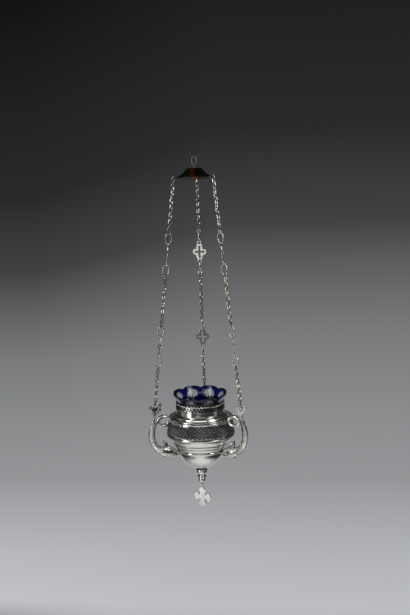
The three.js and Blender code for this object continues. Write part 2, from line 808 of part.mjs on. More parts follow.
// The body runs from the mouth, out past the head and up to the root of the tail, as shares of
// [reach, rise, width, thickness]; then the scroll turns back to the belly.
// Each station is [radius, height, half width in the plane, half thickness across it].
function dolphinStations() {
  const body = [
    [0.09, 0.02, 0.57, 0.67],
    [0.24, 0.08, 0.89, 0.93],
    [headShare, 0.1, 1, 1],
    [0.62, 0.12, 0.83, 0.91],
    [0.8, 0.23, 0.69, 0.78],
    [0.94, 0.41, 0.6, 0.67],
    [1, 0.64, 0.53, 0.57],
    [0.94, 0.84, 0.41, 0.48],
  ];
  const stations = [[bowlNeckRadius - 1, mouthZ, handleWidth * 0.18, handleThickness * 0.22]];
  for (const [out, up, width, thickness] of body) {
    const place = [snoutR + out * handleReach, mouthZ + up * handleRise];
    stations.push([...place, (width * handleWidth) / 2, (thickness * handleThickness) / 2]);
  }
  stations.push([chainBottomRadius - 0.4, scrollZ + 0.6, handleWidth * 0.14, handleThickness * 0.2]);
  for (let degrees = 48; degrees <= 318; degrees += 30) {
    const angle = THREE.MathUtils.degToRad(degrees);
    const across = scrollReach - scrollWire;
    const up = scrollRise - scrollWire;
    stations.push([scrollR + across * Math.cos(angle), scrollZ + up * Math.sin(angle), scrollWire, 1.9]);
  }
  return stations;
}

function dolphinBody() {
  const stations = dolphinStations();
  const sides = 6;
  const rings = stations.map(([r, z, width, thickness], i) => {
    const [beforeR, beforeZ] = stations[Math.max(i - 1, 0)];
    const [afterR, afterZ] = stations[Math.min(i + 1, stations.length - 1)];
    const along = new THREE.Vector2(afterR - beforeR, afterZ - beforeZ).normalize();
    return Array.from({ length: sides }, (_, k) => {
      const angle = (k / sides) * fullTurn;
      const out = Math.cos(angle) * width;
      return new THREE.Vector3(r - along.y * out, Math.sin(angle) * thickness, z + along.x * out);
    });
  });
  return loft(rings);
}

// A forked tail over the handle, with the eye that the chain's last link goes through.
function tailFluke() {
  const footZ = scrollZ - scrollWire * 1.7;
  const at = (across, down) => {
    const z = lampSeatZ + (footZ - lampSeatZ) * down;
    return new THREE.Vector2(chainBottomRadius + flukeReach * across, z);
  };
  const eyeSide = flukeHoleRadius + flukeBar / 2;
  const outerProng = [
    [-0.27, 1], [0.3, 1], [0.35, 0.71], [0.69, 0.47], [0.98, 0.24], [0.93, 0.12], [0.69, 0.1], [0.38, 0.2],
    [0.23, 0.13],
  ];
  const innerProng = [
    [-0.23, 0.12], [-0.46, 0.15], [-0.67, 0.04], [-0.94, 0.02], [-1, 0.1], [-0.77, 0.25], [-0.31, 0.47],
    [-0.04, 0.71],
  ];
  const eye = [[eyeSide, 0.3], [0.8 * flukeBar, 1], [-0.8 * flukeBar, 1], [-eyeSide, 0.3]];
  const outline = [
    ...outerProng.map(([across, down]) => at(across, down)),
    ...eye.map(([across, up]) => new THREE.Vector2(chainBottomRadius + across, lampSeatZ + up * flukeBar)),
    ...innerProng.map(([across, down]) => at(across, down)),
  ];
  const hole = flatTopHole(chainBottomRadius, lampSeatZ - flukeHoleRadius, flukeHoleRadius, 8);
  return plate(outline, flukeThickness, [hole]);
}

function earFinAndChin() {
  const headR = snoutR + headShare * handleReach;
  const finAt = ([across, up]) => new THREE.Vector2(headR + earFinWidth * across, mouthZ + earFinHeight * up);
  const chinAt = ([across, down]) => new THREE.Vector2(headR + earFinWidth * across, mouthZ - chinSpikeLength * down);
  const fin = [[1, 0.44], [0.7, 0.67], [0.55, 1], [0.2, 0.84], [0.05, 0.93], [-0.08, 0.44]].map(finAt);
  const chin = [[0.8, -0.43], [0.38, -0.43], [0.55, 1]].map(chinAt);
  const thickness = 1.5 * flukeThickness;
  return [plate(fin, thickness), plate(chin, thickness)];
}

// The space that the ridge and neck of the bowl take, with the seat's clearance, kept out of the mouth.
function mouthSeat() {
  const clear = seatGap;
  const outline = bowlOutside()
    .filter((p) => p.y < bowlRidgeZ + collarBandHeight / 4 && p.y > bowlRidgeZ - bowlHeight / 3)
    .map((p) => new THREE.Vector2(p.x + clear, p.y));
  const first = outline[0];
  const last = outline[outline.length - 1];
  const block = [...outline, new THREE.Vector2(1, last.y), new THREE.Vector2(1, first.y)];
  return turned(block).rotate([0, 0, -chainAngles.back]);
}

function dolphinHandle() {
  const boss = radialBar(2.1, shoulderRadius + 0.2 + seatGap, bossEndR, rivetZ);
  const whole = join([dolphinBody(), tailFluke(), ...earFinAndChin(), boss]);
  const rivetHole = radialBar(rivetRadius + threadGap, shoulderRadius - 4, scrollR, rivetZ);
  const screwHole = radialBar(screwRadius + threadGap, bowlNeckRadius - 4, snoutR + 8 + seatGap, screwZ);
  return whole.subtract(mouthSeat()).subtract(rivetHole).subtract(screwHole);
}

function cutForFixings(shell, radius, z, wallR) {
  const bar = radialBar(radius + threadGap, wallR - 5, wallR + 3, z);
  const bars = Object.values(chainAngles).map((angle) => bar.rotate([0, 0, angle]));
  return bars.reduce((rest, tool) => rest.subtract(tool), shell);
}

function handleRivet() {
  const wallR = shoulderRadius - bodyWall - seatGap;
  const shank = radialBar(rivetRadius, wallR - 0.5, bossEndR + 0.5, rivetZ, 6);
  const insideHead = radialBar(1.3, wallR - 0.9, wallR, rivetZ);
  const outsideHead = radialBar(1.3, bossEndR + 0.2, bossEndR + 1, rivetZ);
  return join([shank, insideHead, outsideHead]);
}

function handleScrew() {
  const innerWallR = bowlNeckRadius - bodyWall;
  const shank = radialBar(screwRadius, innerWallR - 1.2, snoutR + 8, screwZ);
  const head = radialBar(2.3, innerWallR - 2.1, innerWallR - 0.7, screwZ);
  return join([shank, head]);
}

function addHandle(parent, side) {
  const handle = new THREE.Group();
  addPiece(handle, `handle_${side}`, dolphinHandle(), silver);
  addPiece(handle, `handle_rivet_${side}`, handleRivet(), silver);
  addPiece(handle, `handle_screw_${side}`, handleScrew(), silver);
  handle.rotation.z = THREE.MathUtils.degToRad(chainAngles[side]);
  parent.add(handle);
}

// Finial: a cup-shaped knob and a ball on one bolt, whose eye carries the pendant

const knobTopZ = bowlFootZ - seatGap;
const knobBaseZ = knobTopZ - knobHeight;
const ballTopZ = knobBaseZ - seatGap;
const ballBaseZ = ballTopZ - ballHeight;
const boltShoulderZ = ballBaseZ - seatGap;
const boltEyeTop = boltShoulderZ - 1.6;
const boltEyeBottom = boltEyeTop - 2 * boltEyeHole;

function finialKnob() {
  const bore = boltRadius + seatGap;
  const down = (share) => knobTopZ - knobHeight * share;
  const outside = new THREE.Path()
    .moveTo(bore, knobTopZ)
    .lineTo(knobRadius * 0.9, knobTopZ)
    .lineTo(knobRadius, down(0.06))
    .lineTo(knobRadius, down(0.24))
    .quadraticCurveTo(knobRadius * 0.86, down(0.63), knobRadius * 0.52, down(0.79))
    .lineTo(knobRadius * 0.8, down(0.89))
    .lineTo(knobRadius * 0.8, knobBaseZ)
    .lineTo(bore, knobBaseZ);
  return turned(outside.getPoints(curveSteps), finialSteps);
}

function finialBall() {
  const bore = boltRadius + seatGap;
  const half = ballHeight / 2;
  const capAngle = THREE.MathUtils.radToDeg(Math.asin(half / ballRadius)) - 2;
  const side = arc(0, ballTopZ - half, ballRadius, capAngle, -capAngle, 5);
  const outline = [new THREE.Vector2(bore, ballTopZ), ...side, new THREE.Vector2(bore, ballBaseZ)];
  return turned(outline, finialSteps);
}

const finialNutTopZ = bowlFootZ + bodyWall + seatGap + finialNutHeight;

function finialBolt() {
  const rod = disc(boltRadius, boltShoulderZ - 0.4, finialNutTopZ + 1, 8);
  const shoulderPiece = disc(2.2, boltEyeTop - 0.2, boltShoulderZ, 10);
  const eye = wireLoop({
    innerTop: boltEyeTop,
    innerBottom: boltEyeBottom,
    innerWidth: 2 * boltEyeHole,
    wire: boltEyeWire,
    corners: ovalCorners(8),
    section: roundWire(5),
  });
  return join([rod, shoulderPiece, eye.rotate([0, 0, pendantTurn])]);
}

const loopTop = boltEyeBottom + seatGap;
const loopBottom = loopTop - pendantLoopHole;

function pendantLoop() {
  return quarterTurned(wireLoop({
    innerTop: loopTop,
    innerBottom: loopBottom,
    innerWidth: pendantLoopHole,
    wire: pendantLoopWire,
    corners: ovalCorners(8),
    section: roundWire(5),
  })).rotate([0, 0, pendantTurn]);
}

// Each arm widens to an end that comes to a blunt point.
function pendantCross() {
  const eyeletTop = loopBottom + seatGap;
  const eyeletCentre = eyeletTop - crossEyeletHole;
  const eyeletOuter = crossEyeletHole + 0.9;
  const centreZ = eyeletCentre - eyeletOuter - crossHeight / 2 + 0.6;
  const corners = [];
  for (let turn = 0; turn < 4; turn++) {
    const reach = (turn % 2 ? crossHeight : crossWidth) / 2;
    const angle = (turn * Math.PI) / 2;
    const arm = [[2.9, -2.9], [reach - 3.4, -5.9], [reach, 0], [reach - 3.4, 5.9]];
    for (const [x, y] of arm) {
      corners.push(new THREE.Vector2(x, y).rotateAround(new THREE.Vector2(), angle));
    }
  }
  const outline = corners.map((p) => new THREE.Vector2(p.x, p.y + centreZ));
  const eyelet = plate(arc(0, eyeletCentre, eyeletOuter, 0, 315, 7), crossThickness);
  const hole = plate(flatTopHole(0, eyeletCentre, crossEyeletHole, 6).getPoints(), 2 * crossThickness);
  return plate(outline, crossThickness).add(eyelet).subtract(hole).rotate([0, 0, pendantTurn]);
}

// Assembly

const lamp = new THREE.Group();
addPiece(lamp, 'hanging_ring', hangingRing(), silver);
addPiece(lamp, 'hook_stem', hookStem(), silver);
const stemNut = nut(stemNutWidth, stemNutTopZ, stemNutHeight, shankRadius + threadGap);
addPiece(lamp, 'stem_nut', stemNut, wornBrass);
addPiece(lamp, 'canopy', canopy(), canopyBronze);
for (const side of Object.keys(chainAngles)) {
  addChain(lamp, side, stations);
}
addPiece(lamp, 'neck_gallery', neckGallery(), silver);
addPiece(lamp, 'shoulder', shoulder(), silver);
const belly = cutForFixings(bellyBand(), rivetRadius, rivetZ, shoulderRadius);
addPiece(lamp, 'belly_gallery', belly, darkSilver);
addPiece(lamp, 'lower_bowl', lowerBowl(), silver);
addPiece(lamp, 'oil_glass', oilGlass(), cobaltGlass);
for (const side of Object.keys(chainAngles)) {
  addHandle(lamp, side);
}
addPiece(lamp, 'finial_knob', finialKnob(), silver);
addPiece(lamp, 'finial_ball', finialBall(), silver);
addPiece(lamp, 'finial_bolt', finialBolt(), silver);
addPiece(lamp, 'finial_nut', nut(finialNutWidth, finialNutTopZ, finialNutHeight, boltRadius + threadGap), wornBrass);
addPiece(lamp, 'pendant_loop', pendantLoop(), silver);
addPiece(lamp, 'pendant_cross', pendantCross(), silver);

export default lamp;
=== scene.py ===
from math import asin, copysign, cos, floor, hypot, pi, radians, sin, sqrt

import bmesh
import bpy
import numpy as np
from mathutils import Matrix, Vector


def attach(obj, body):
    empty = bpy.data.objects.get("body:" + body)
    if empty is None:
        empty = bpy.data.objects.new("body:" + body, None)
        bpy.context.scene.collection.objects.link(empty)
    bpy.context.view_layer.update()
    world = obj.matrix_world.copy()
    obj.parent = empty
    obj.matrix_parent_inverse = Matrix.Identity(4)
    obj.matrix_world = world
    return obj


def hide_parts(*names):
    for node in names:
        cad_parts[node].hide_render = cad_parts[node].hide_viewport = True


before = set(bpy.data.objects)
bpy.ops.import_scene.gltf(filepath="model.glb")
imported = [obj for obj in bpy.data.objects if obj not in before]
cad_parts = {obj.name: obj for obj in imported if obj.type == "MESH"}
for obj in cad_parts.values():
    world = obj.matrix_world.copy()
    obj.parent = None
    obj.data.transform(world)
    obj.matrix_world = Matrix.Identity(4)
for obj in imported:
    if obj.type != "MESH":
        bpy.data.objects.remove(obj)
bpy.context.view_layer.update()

# Every length is in millimetres, in the frame of the CAD model. Only the stage and its lights are in
# metres.
MM = 0.001

# Grain of metal and glass: noise scales over the piece's coordinates in metres, and the dents' depth
PATCH_SCALE = 45.0
SMEAR_SCALE = 180.0
DENT_SCALE = 260.0
DENT_DEPTH = 0.4
GLASS_SWIRL_SCALE = 30.0
GROUND_GRAIN_SCALE = 400.0

# The camera, as it stood for the photograph
CAMERA_AZIMUTH = 5.5
CAMERA_DISTANCE = 1055.0
CAMERA_ASIDE = 10.4
CAMERA_HEIGHT = -88.5
CAMERA_PITCH = 6.75
CAMERA_ROLL = -1.39
FOCAL_PIXELS = 740.0
IMAGE_HEIGHT = 615.0

# Top ring, stem and canopy
RING_CENTRE_Z = -5.8
RING_HALF_WIDTH = 3.15
RING_HALF_HEIGHT = 6.65
RING_WIRE = 0.85
EYE_CENTRE_Z = -12.45
EYE_RADIUS = 1.9
EYE_WIRE = 0.75
CANOPY_TOP_Z = -16.0
CANOPY_RIM_Z = -29.8
CANOPY_RIM_RADIUS = 26.5
EAR_THICKNESS = 1.0
EAR_HOLE_R = 30.1
EAR_HOLE_RADIUS = 1.25
STREAK_X = -1.0
STREAK_HALF_WIDTH = 4.6

# Chains
CHAIN_ANGLES = {"back": 90.0, "left": 210.0, "right": 330.0}
PLAQUE_TURNS = {"back": (0.0, 0.0), "left": (-22.0, -10.0), "right": (26.0, 35.0)}
CHAIN_TOP_RADIUS = 32.0
CHAIN_BOTTOM_RADIUS = 70.0
CHAIN_TOP_Z = -28.8
CHAIN_LENGTH = 320.7
SEAT_GAP = 0.3
LINK_LENGTH = 4.95
LINK_WIRE = 0.68
LINK_HALF_WIDTH = 1.95
UPPER_LINKS = 16
MIDDLE_LINKS = 15
LOWER_LINKS = 11
LINK_UNEVENNESS = 9.0
RING_INNER_HEIGHT = 13.5
CHAIN_RING_WIRE = 0.75
CHAIN_RING_HALF_WIDTH = 4.5
PLAQUE_INNER_HEIGHT = 30.9
PLAQUE_THICKNESS = 1.1
PLAQUE_HALF_WIDTH = 10.25
PLAQUE_ARM_END = 12.8
PLAQUE_ARM_RADIUS = 4.4
EYELET_Z = 13.65
EYELET_RADIUS = 3.1
EYELET_HOLE_Z = 13.4
EYELET_HOLE_RADIUS = 2.0

# Oil glass
GLASS_RIM_Z = -336.3
GLASS_FOOT_Z = -414.54
PETALS = 8
PETAL_DIP = 4.2
PETAL_INSET = 1.2
PETAL_TURN = 4.0
PETAL_STEPS = 18
GLASS_TILT = 1.6
WINDOW_Z = -347.4
WINDOW_HALF_HEIGHT = 6.7
WINDOW_HALF_WIDTH = 8.2
WINDOW_LOWEST_Z = -358.0
GLASS_IOR = 1.5

# Lamp body
NECK_TOP_Z = -349.54
NECK_BASE_Z = -366.54
NECK_RADIUS = 35.3
NECK_TEETH = 44
NECK_ROWS = 2
NECK_HOLE_HALF_HEIGHT = 2.2
NECK_FOOT_HEIGHT = 1.2
NECK_FOOT_FLARE = 0.35
SHOULDER_TOP_Z = -366.84
SHOULDER_BASE_Z = -372.84
BELLY_TOP_Z = -373.14
BELLY_BASE_Z = -396.14
BELLY_TOP_RADIUS = 46.4
BELLY_WIDENING = 2.8
BELLY_SWELL = 0.45
BELLY_BEAD_HEIGHT = 2.4
BELLY_BEAD_DEPTH = 0.8
BELLY_HOLES = 52
BELLY_ROWS = 8
BELLY_HOLE_HALF_HEIGHT = 1.9
BOWL_TOP_Z = -396.44
BOWL_FOOT_Z = -451.44
WALL = 1.2

# Handles
SCROLL_R = 58.2
SCROLL_Z = -372.54
SCROLL_RING_HALF_WIDTH = 8.3
SCROLL_RING_HALF_HEIGHT = 6.8
RIVET_Z = -374.74
TAIL_HOLE_Z = -349.24
TAIL_HOLE_RADIUS = 2.0
TAIL_THICKNESS = 1.4
EAR_FIN_THICKNESS = 4.4
CHIN_FIN_THICKNESS = 3.4
EYE_R = 46.6
EYE_Z = -419.6
SCALE_PITCH = 3.0
SCALE_LIFT = 1.0
SCALES_ROUND = 10

# Finial and pendant
KNOB_TOP_Z = -451.74
BALL_TOP_Z = -464.64
BOLT_EYE_TOP_Z = -473.54
LOOP_TOP_Z = -475.24
LOOP_BOTTOM_Z = -478.64
CROSS_CENTRE_Z = -495.04
CROSS_EYE_Z = -479.24
CROSS_THICKNESS = 1.8
PENDANT_TURN = -23.0


# Meshes

def make_mesh(name, points, faces, smooth_angle):
    mesh = bpy.data.meshes.new(name)
    mesh.from_pydata([tuple(p) for p in np.asarray(points, float) * MM], [], [tuple(f) for f in faces])
    mesh.validate()
    shell = bmesh.new()
    shell.from_mesh(mesh)
    bmesh.ops.recalc_face_normals(shell, faces=shell.faces)
    shell.to_mesh(mesh)
    shell.free()
    for polygon in mesh.polygons:
        polygon.use_smooth = True
    mesh.set_sharp_from_angle(angle=radians(smooth_angle))
    return mesh


def new_object(name, data):
    added = bpy.data.objects.new(name, data)
    bpy.context.scene.collection.objects.link(added)
    return added


def make_object(name, part, material, body, replaces, smooth_angle=40.0):
    """A piece from a pair of points and faces. Edges sharper than smooth_angle degrees stay sharp."""
    piece = new_object(name, make_mesh(name, *part, smooth_angle))
    piece.data.materials.append(material)
    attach(piece, body)
    for node in replaces:
        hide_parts(node)
    return piece


def paint_faces(piece, material, chosen):
    """Give a second material to the faces that chosen(face) picks."""
    piece.data.materials.append(material)
    for face in piece.data.polygons:
        if chosen(face):
            face.material_index = 1


def faces_inwards(face):
    """Whether a face of a turned wall looks at the axis or along a hole, rather than outwards or up."""
    outward = Vector((face.center.x, face.center.y, 0)).normalized()
    return face.normal.dot(outward) < 0.3 and face.normal.z < 0.8


def join_parts(parts):
    """One list of points and one of faces from several (points, faces) pairs."""
    points = []
    faces = []
    for part_points, part_faces in parts:
        start = len(points)
        points.extend(part_points)
        faces.extend([tuple(i + start for i in face) for face in part_faces])
    return points, faces


def moved(part, matrix):
    points, faces = part
    return [matrix @ Vector(p) for p in points], faces


def about_z(degrees):
    return Matrix.Rotation(radians(degrees), 4, "Z")


def grid_faces(rows, columns, closed_rows):
    """Faces between rings of points, and from the last ring to the first if closed_rows."""
    faces = []
    for i in range(rows if closed_rows else rows - 1):
        for k in range(columns):
            a = i * columns + k
            b = i * columns + (k + 1) % columns
            c = ((i + 1) % rows) * columns + (k + 1) % columns
            d = ((i + 1) % rows) * columns + k
            faces.append((a, b, c, d))
    return faces


def lathe(profile, steps):
    """A closed profile of (radius, height) points turned about Z."""
    points = []
    for radius, height in profile:
        for k in range(steps):
            angle = 2 * pi * k / steps
            points.append((radius * cos(angle), radius * sin(angle), height))
    return points, grid_faces(len(profile), steps, True)


def curve_points(controls, steps):
    """A smooth line through (x, y, ...) control points."""
    controls = [np.asarray(c, float) for c in controls]
    padded = [2 * controls[0] - controls[1]] + controls + [2 * controls[-1] - controls[-2]]
    result = []
    for i in range(1, len(padded) - 2):
        before, start, end, after = padded[i - 1:i + 3]
        for k in range(steps):
            t = k / steps
            point = 0.5 * (2 * start + (end - before) * t
                           + (2 * before - 5 * start + 4 * end - after) * t ** 2
                           + (3 * start - before - 3 * end + after) * t ** 3)
            result.append(point)
    result.append(controls[-1])
    return result


def arc(centre, radius, start, end, steps):
    points = []
    for i in range(steps + 1):
        angle = radians(start + (end - start) * i / steps)
        points.append((centre[0] + radius * cos(angle), centre[1] + radius * sin(angle)))
    return points


def flat_loop(centreline, wire, sides):
    """Round wire along a closed line of (x, z) points in the XZ plane."""
    return squashed_loop(centreline, wire, wire, sides)


def squashed_loop(centreline, half_width, half_depth, sides):
    """Oval wire along a closed line, with its half width in the line's plane and half depth across."""
    count = len(centreline)
    points = []
    for i in range(count):
        before = np.asarray(centreline[i - 1])
        after = np.asarray(centreline[(i + 1) % count])
        along = (after - before) / np.linalg.norm(after - before)
        out = np.array([along[1], -along[0]])
        for k in range(sides):
            angle = 2 * pi * k / sides
            x, z = np.asarray(centreline[i]) + out * half_width * cos(angle)
            points.append((x, half_depth * sin(angle), z))
    return points, grid_faces(count, sides, True)


def oval(half_width, half_height, centre_z, count, power=2.0):
    line = []
    for i in range(count):
        angle = 2 * pi * i / count
        x = copysign(abs(sin(angle)) ** (2 / power), sin(angle)) * half_width
        z = copysign(abs(cos(angle)) ** (2 / power), cos(angle)) * half_height
        line.append((x, centre_z + z))
    return line


def round_ended(half_width, half_height, centre_z, steps=7):
    straight = half_height - half_width
    top = arc((0, centre_z + straight), half_width, 0, 180, steps)
    bottom = arc((0, centre_z - straight), half_width, 180, 360, steps)
    return top + bottom


def plate_part(outline, holes, thickness, bevel):
    """A flat piece in the XZ plane with rounded edges, cut by holes."""
    curve = bpy.data.curves.new("outline", "CURVE")
    curve.dimensions = "2D"
    curve.fill_mode = "BOTH"
    curve.extrude = max(thickness / 2 - bevel, 0.01)
    curve.bevel_depth = bevel
    curve.bevel_resolution = 2
    curve.offset = -bevel
    for line in [outline] + list(holes):
        spline = curve.splines.new("POLY")
        spline.points.add(len(line) - 1)
        spline.use_cyclic_u = True
        for point, (x, z) in zip(spline.points, line):
            point.co = (x, z, 0, 1)
    scratch = new_object("scratch", curve)
    bpy.context.view_layer.update()
    mesh = bpy.data.meshes.new_from_object(scratch.evaluated_get(bpy.context.evaluated_depsgraph_get()))
    points = [(v.co.x, -v.co.z, v.co.y) for v in mesh.vertices]
    faces = [tuple(p.vertices) for p in mesh.polygons]
    bpy.data.objects.remove(scratch)
    bpy.data.curves.remove(curve)
    bpy.data.meshes.remove(mesh)
    return points, faces


def circle(x, z, radius, count=20):
    return arc((x, z), radius, 0, 360 * (count - 1) / count, count - 1)


def close_ends(points, faces, sides, first, last):
    """Close a tube's first and last ring of points with a fan round a middle point."""
    start = len(points)
    points += [first, last]
    ring = start - sides
    for k in range(sides):
        faces.append((start, (k + 1) % sides, k))
        faces.append((start + 1, ring + k, ring + (k + 1) % sides))


def share_between(value, start, end):
    """How far value has gone from start to end, from 0 to 1."""
    return min(max((value - start) / (end - start), 0.0), 1.0)


def tube(path, radii, sides):
    """A tube along points in space, with a half width in the bend's plane and one across it."""
    path = [Vector(p) for p in path]
    points = []
    normal = Vector((0, 1, 0))
    for i, point in enumerate(path):
        along = (path[min(i + 1, len(path) - 1)] - path[max(i - 1, 0)]).normalized()
        side = along.cross(normal).normalized()
        across = side.cross(along).normalized()
        wide, thick = radii[i]
        for k in range(sides):
            angle = 2 * pi * k / sides
            points.append(point + side * wide * cos(angle) + across * thick * sin(angle))
    faces = grid_faces(len(path), sides, False)
    close_ends(points, faces, sides, path[0], path[-1])
    return points, faces


def ball(centre, radii, rows=10, columns=16):
    points = []
    for i in range(1, rows):
        tilt = pi * i / rows
        for k in range(columns):
            angle = 2 * pi * k / columns
            points.append((centre[0] + radii[0] * sin(tilt) * cos(angle),
                           centre[1] + radii[1] * sin(tilt) * sin(angle),
                           centre[2] + radii[2] * cos(tilt)))
    faces = grid_faces(rows - 1, columns, False)
    ends = [(centre[0], centre[1], centre[2] + side * radii[2]) for side in (1, -1)]
    close_ends(points, faces, columns, *ends)
    return points, faces


# Materials

def new_material(name):
    material = bpy.data.materials.new(name)
    material.use_nodes = True
    tree = material.node_tree
    shader = tree.nodes["Principled BSDF"]
    return material, tree, shader


def set_inputs(node, values):
    for name, value in values.items():
        node.inputs[name].default_value = value


def add_noise(tree, scale, detail=4.0):
    """A noise between 0 and 1 over the piece's own coordinates."""
    place = tree.nodes.new("ShaderNodeTexCoord")
    noise = tree.nodes.new("ShaderNodeTexNoise")
    set_inputs(noise, {"Scale": scale, "Detail": detail, "Roughness": 0.6})
    tree.links.new(place.outputs["Object"], noise.inputs["Vector"])
    return noise.outputs["Fac"]


def add_place(tree):
    """The piece's own x, y and z."""
    place = tree.nodes.new("ShaderNodeTexCoord")
    split = tree.nodes.new("ShaderNodeSeparateXYZ")
    tree.links.new(place.outputs["Object"], split.inputs["Vector"])
    return split.outputs["X"], split.outputs["Y"], split.outputs["Z"]


def add_range(tree, value, low, high, out_low, out_high):
    node = tree.nodes.new("ShaderNodeMapRange")
    set_inputs(node, {"From Min": low, "From Max": high, "To Min": out_low, "To Max": out_high})
    tree.links.new(value, node.inputs["Value"])
    return node.outputs["Result"]


def add_mix(tree, factor, first, second):
    node = tree.nodes.new("ShaderNodeMix")
    node.data_type = "RGBA"
    tree.links.new(factor, node.inputs["Factor"])
    for socket, value in ((node.inputs["A"], first), (node.inputs["B"], second)):
        if isinstance(value, tuple):
            socket.default_value = (*value, 1.0)
        else:
            tree.links.new(value, socket)
    return node.outputs["Result"]


def add_math(tree, operation, *values):
    node = tree.nodes.new("ShaderNodeMath")
    node.operation = operation
    for socket, value in zip(node.inputs, values):
        if isinstance(value, (int, float)):
            socket.default_value = value
        else:
            tree.links.new(value, socket)
    return node.outputs[0]


def plated_metal(name, bright, tarnish_and_shade, polish, cavity, patches, dents=0.15, reach=2.5):
    """Polished plate that is darker in its hollows, as tarnish and painted shade, and in faint
    patches of tarnish. polish is its least and most roughness, cavity and patches say how strong
    the darkening is in each, and reach how far a wall shades what is beside it."""
    material, tree, shader = new_material(name)
    set_inputs(shader, {"Metallic": 1.0})
    patch_mask = add_range(tree, add_noise(tree, PATCH_SCALE), 0.45, 0.75, 0.0, patches)
    # Painted shade and tarnish: ambient occlusion darkens the hollows towards the dark colour.
    hollow = tree.nodes.new("ShaderNodeAmbientOcclusion")
    hollow.samples = 6
    set_inputs(hollow, {"Distance": reach * MM})
    hollow_mask = add_range(tree, hollow.outputs["AO"], 0.25, 0.85, cavity, 0.0)
    mask = add_math(tree, "MAXIMUM", patch_mask, hollow_mask)
    tree.links.new(add_mix(tree, mask, bright, tarnish_and_shade), shader.inputs["Base Color"])
    roughness = add_range(tree, add_noise(tree, SMEAR_SCALE, 5.0), 0.3, 0.7, *polish)
    tree.links.new(roughness, shader.inputs["Roughness"])
    bump = tree.nodes.new("ShaderNodeBump")
    set_inputs(bump, {"Strength": dents, "Distance": DENT_DEPTH * MM})
    tree.links.new(add_noise(tree, DENT_SCALE, 2.0), bump.inputs["Height"])
    tree.links.new(bump.outputs["Normal"], shader.inputs["Normal"])
    return material


silver = plated_metal("polished_silver", (0.82, 0.81, 0.78), (0.13, 0.12, 0.105), (0.15, 0.25),
                      cavity=0.75, patches=0.25, dents=0.04)
satin_silver = plated_metal("satin_silver", (0.95, 0.94, 0.91), (0.6, 0.58, 0.54), (0.26, 0.27),
                            cavity=0.3, patches=0.1, dents=0.0)
# Painted shade: a near-black copy of silver for the faces that look inwards or along holes.
shaded_inner_silver = plated_metal("shaded_inner_silver", (0.035, 0.035, 0.034), (0.015, 0.015, 0.015), (0.4, 0.6),
                            cavity=0.9, patches=0.8)
neck_silver = plated_metal("neck_silver", (0.72, 0.72, 0.70), (0.03, 0.03, 0.03), (0.18, 0.28),
                           cavity=0.95, patches=0.35, dents=0.05)
pierced_silver = plated_metal("pierced_silver", (0.74, 0.74, 0.72), (0.015, 0.015, 0.015), (0.14, 0.26),
                              cavity=1.0, patches=0.45)
cast_silver = plated_metal("cast_silver", (0.80, 0.79, 0.75), (0.022, 0.02, 0.016), (0.16, 0.28),
                           cavity=0.95, patches=0.35, reach=3.5)
chain_metal = plated_metal("chain_metal", (0.62, 0.59, 0.51), (0.08, 0.06, 0.04), (0.16, 0.3),
                           cavity=0.95, patches=0.6, dents=0.06)
ring_metal = plated_metal("ring_metal", (0.80, 0.78, 0.73), (0.08, 0.07, 0.05), (0.14, 0.24),
                          cavity=0.85, patches=0.35, dents=0.05)
# Painted dark reflection: the canopy's polished metal is near black, standing in for the dark room it
# reflects.
canopy_painted_dark_metal = plated_metal("canopy_painted_dark_metal", (0.032, 0.036, 0.03), (0.06, 0.03, 0.018), (0.22, 0.36),
                            cavity=0.8, patches=0.5)
top_metal = plated_metal("top_metal", (0.20, 0.22, 0.19), (0.05, 0.045, 0.04), (0.2, 0.34),
                         cavity=0.8, patches=0.5)


def streak(material, centre, half_width, colour):
    """A band of another colour down a metal, about x = centre."""
    tree = material.node_tree
    shader = tree.nodes["Principled BSDF"]
    plain = shader.inputs["Base Color"].links[0].from_socket
    x, _, _ = add_place(tree)
    distance = add_math(tree, "ABSOLUTE", add_math(tree, "SUBTRACT", x, centre * MM))
    band = add_range(tree, distance, half_width * 0.35 * MM, half_width * MM, 1.0, 0.0)
    tree.links.new(add_mix(tree, band, plain, colour), shader.inputs["Base Color"])


# A red-brown band down the canopy, about its axis.
streak(canopy_painted_dark_metal, STREAK_X, STREAK_HALF_WIDTH, (0.30, 0.075, 0.02))


def blue_glass():
    """Cobalt glass, darker at its rim and clear where the mesh's window attribute is 1."""
    material, tree, shader = new_material("cobalt_glass")
    set_inputs(shader, {"IOR": GLASS_IOR, "Specular IOR Level": 0.5, "Transmission Weight": 1.0})
    window = tree.nodes.new("ShaderNodeAttribute")
    window.attribute_name = "window"
    edge = tree.nodes.new("ShaderNodeAttribute")
    edge.attribute_name = "edge"
    tree.links.new(add_range(tree, window.outputs["Fac"], 0.0, 1.0, 0.03, 0.3), shader.inputs["Roughness"])
    swirl = add_range(tree, add_noise(tree, GLASS_SWIRL_SCALE, 3.0), 0.3, 0.7, 0.0, 1.0)
    blue = add_mix(tree, swirl, (0.004, 0.009, 0.17), (0.008, 0.018, 0.30))
    thick = add_mix(tree, edge.outputs["Fac"], blue, (0.001, 0.001, 0.012))
    colour = add_mix(tree, window.outputs["Fac"], thick, (0.93, 0.95, 0.97))
    tree.links.new(colour, shader.inputs["Base Color"])
    return material


def window_glass():
    """Clear glass with a fine ground surface."""
    material, tree, shader = new_material("ground_glass")
    set_inputs(shader, {"IOR": GLASS_IOR, "Specular IOR Level": 0.3, "Transmission Weight": 0.95})
    grain = add_noise(tree, GROUND_GRAIN_SCALE, 3.0)
    tree.links.new(add_range(tree, grain, 0.3, 0.7, 0.06, 0.2), shader.inputs["Roughness"])
    tint = add_range(tree, grain, 0.3, 0.7, 0.0, 1.0)
    colour = add_mix(tree, tint, (0.80, 0.82, 0.82), (0.93, 0.94, 0.92))
    tree.links.new(colour, shader.inputs["Base Color"])
    return material


cobalt = blue_glass()
ground_glass = window_glass()


# Top ring, stem and canopy

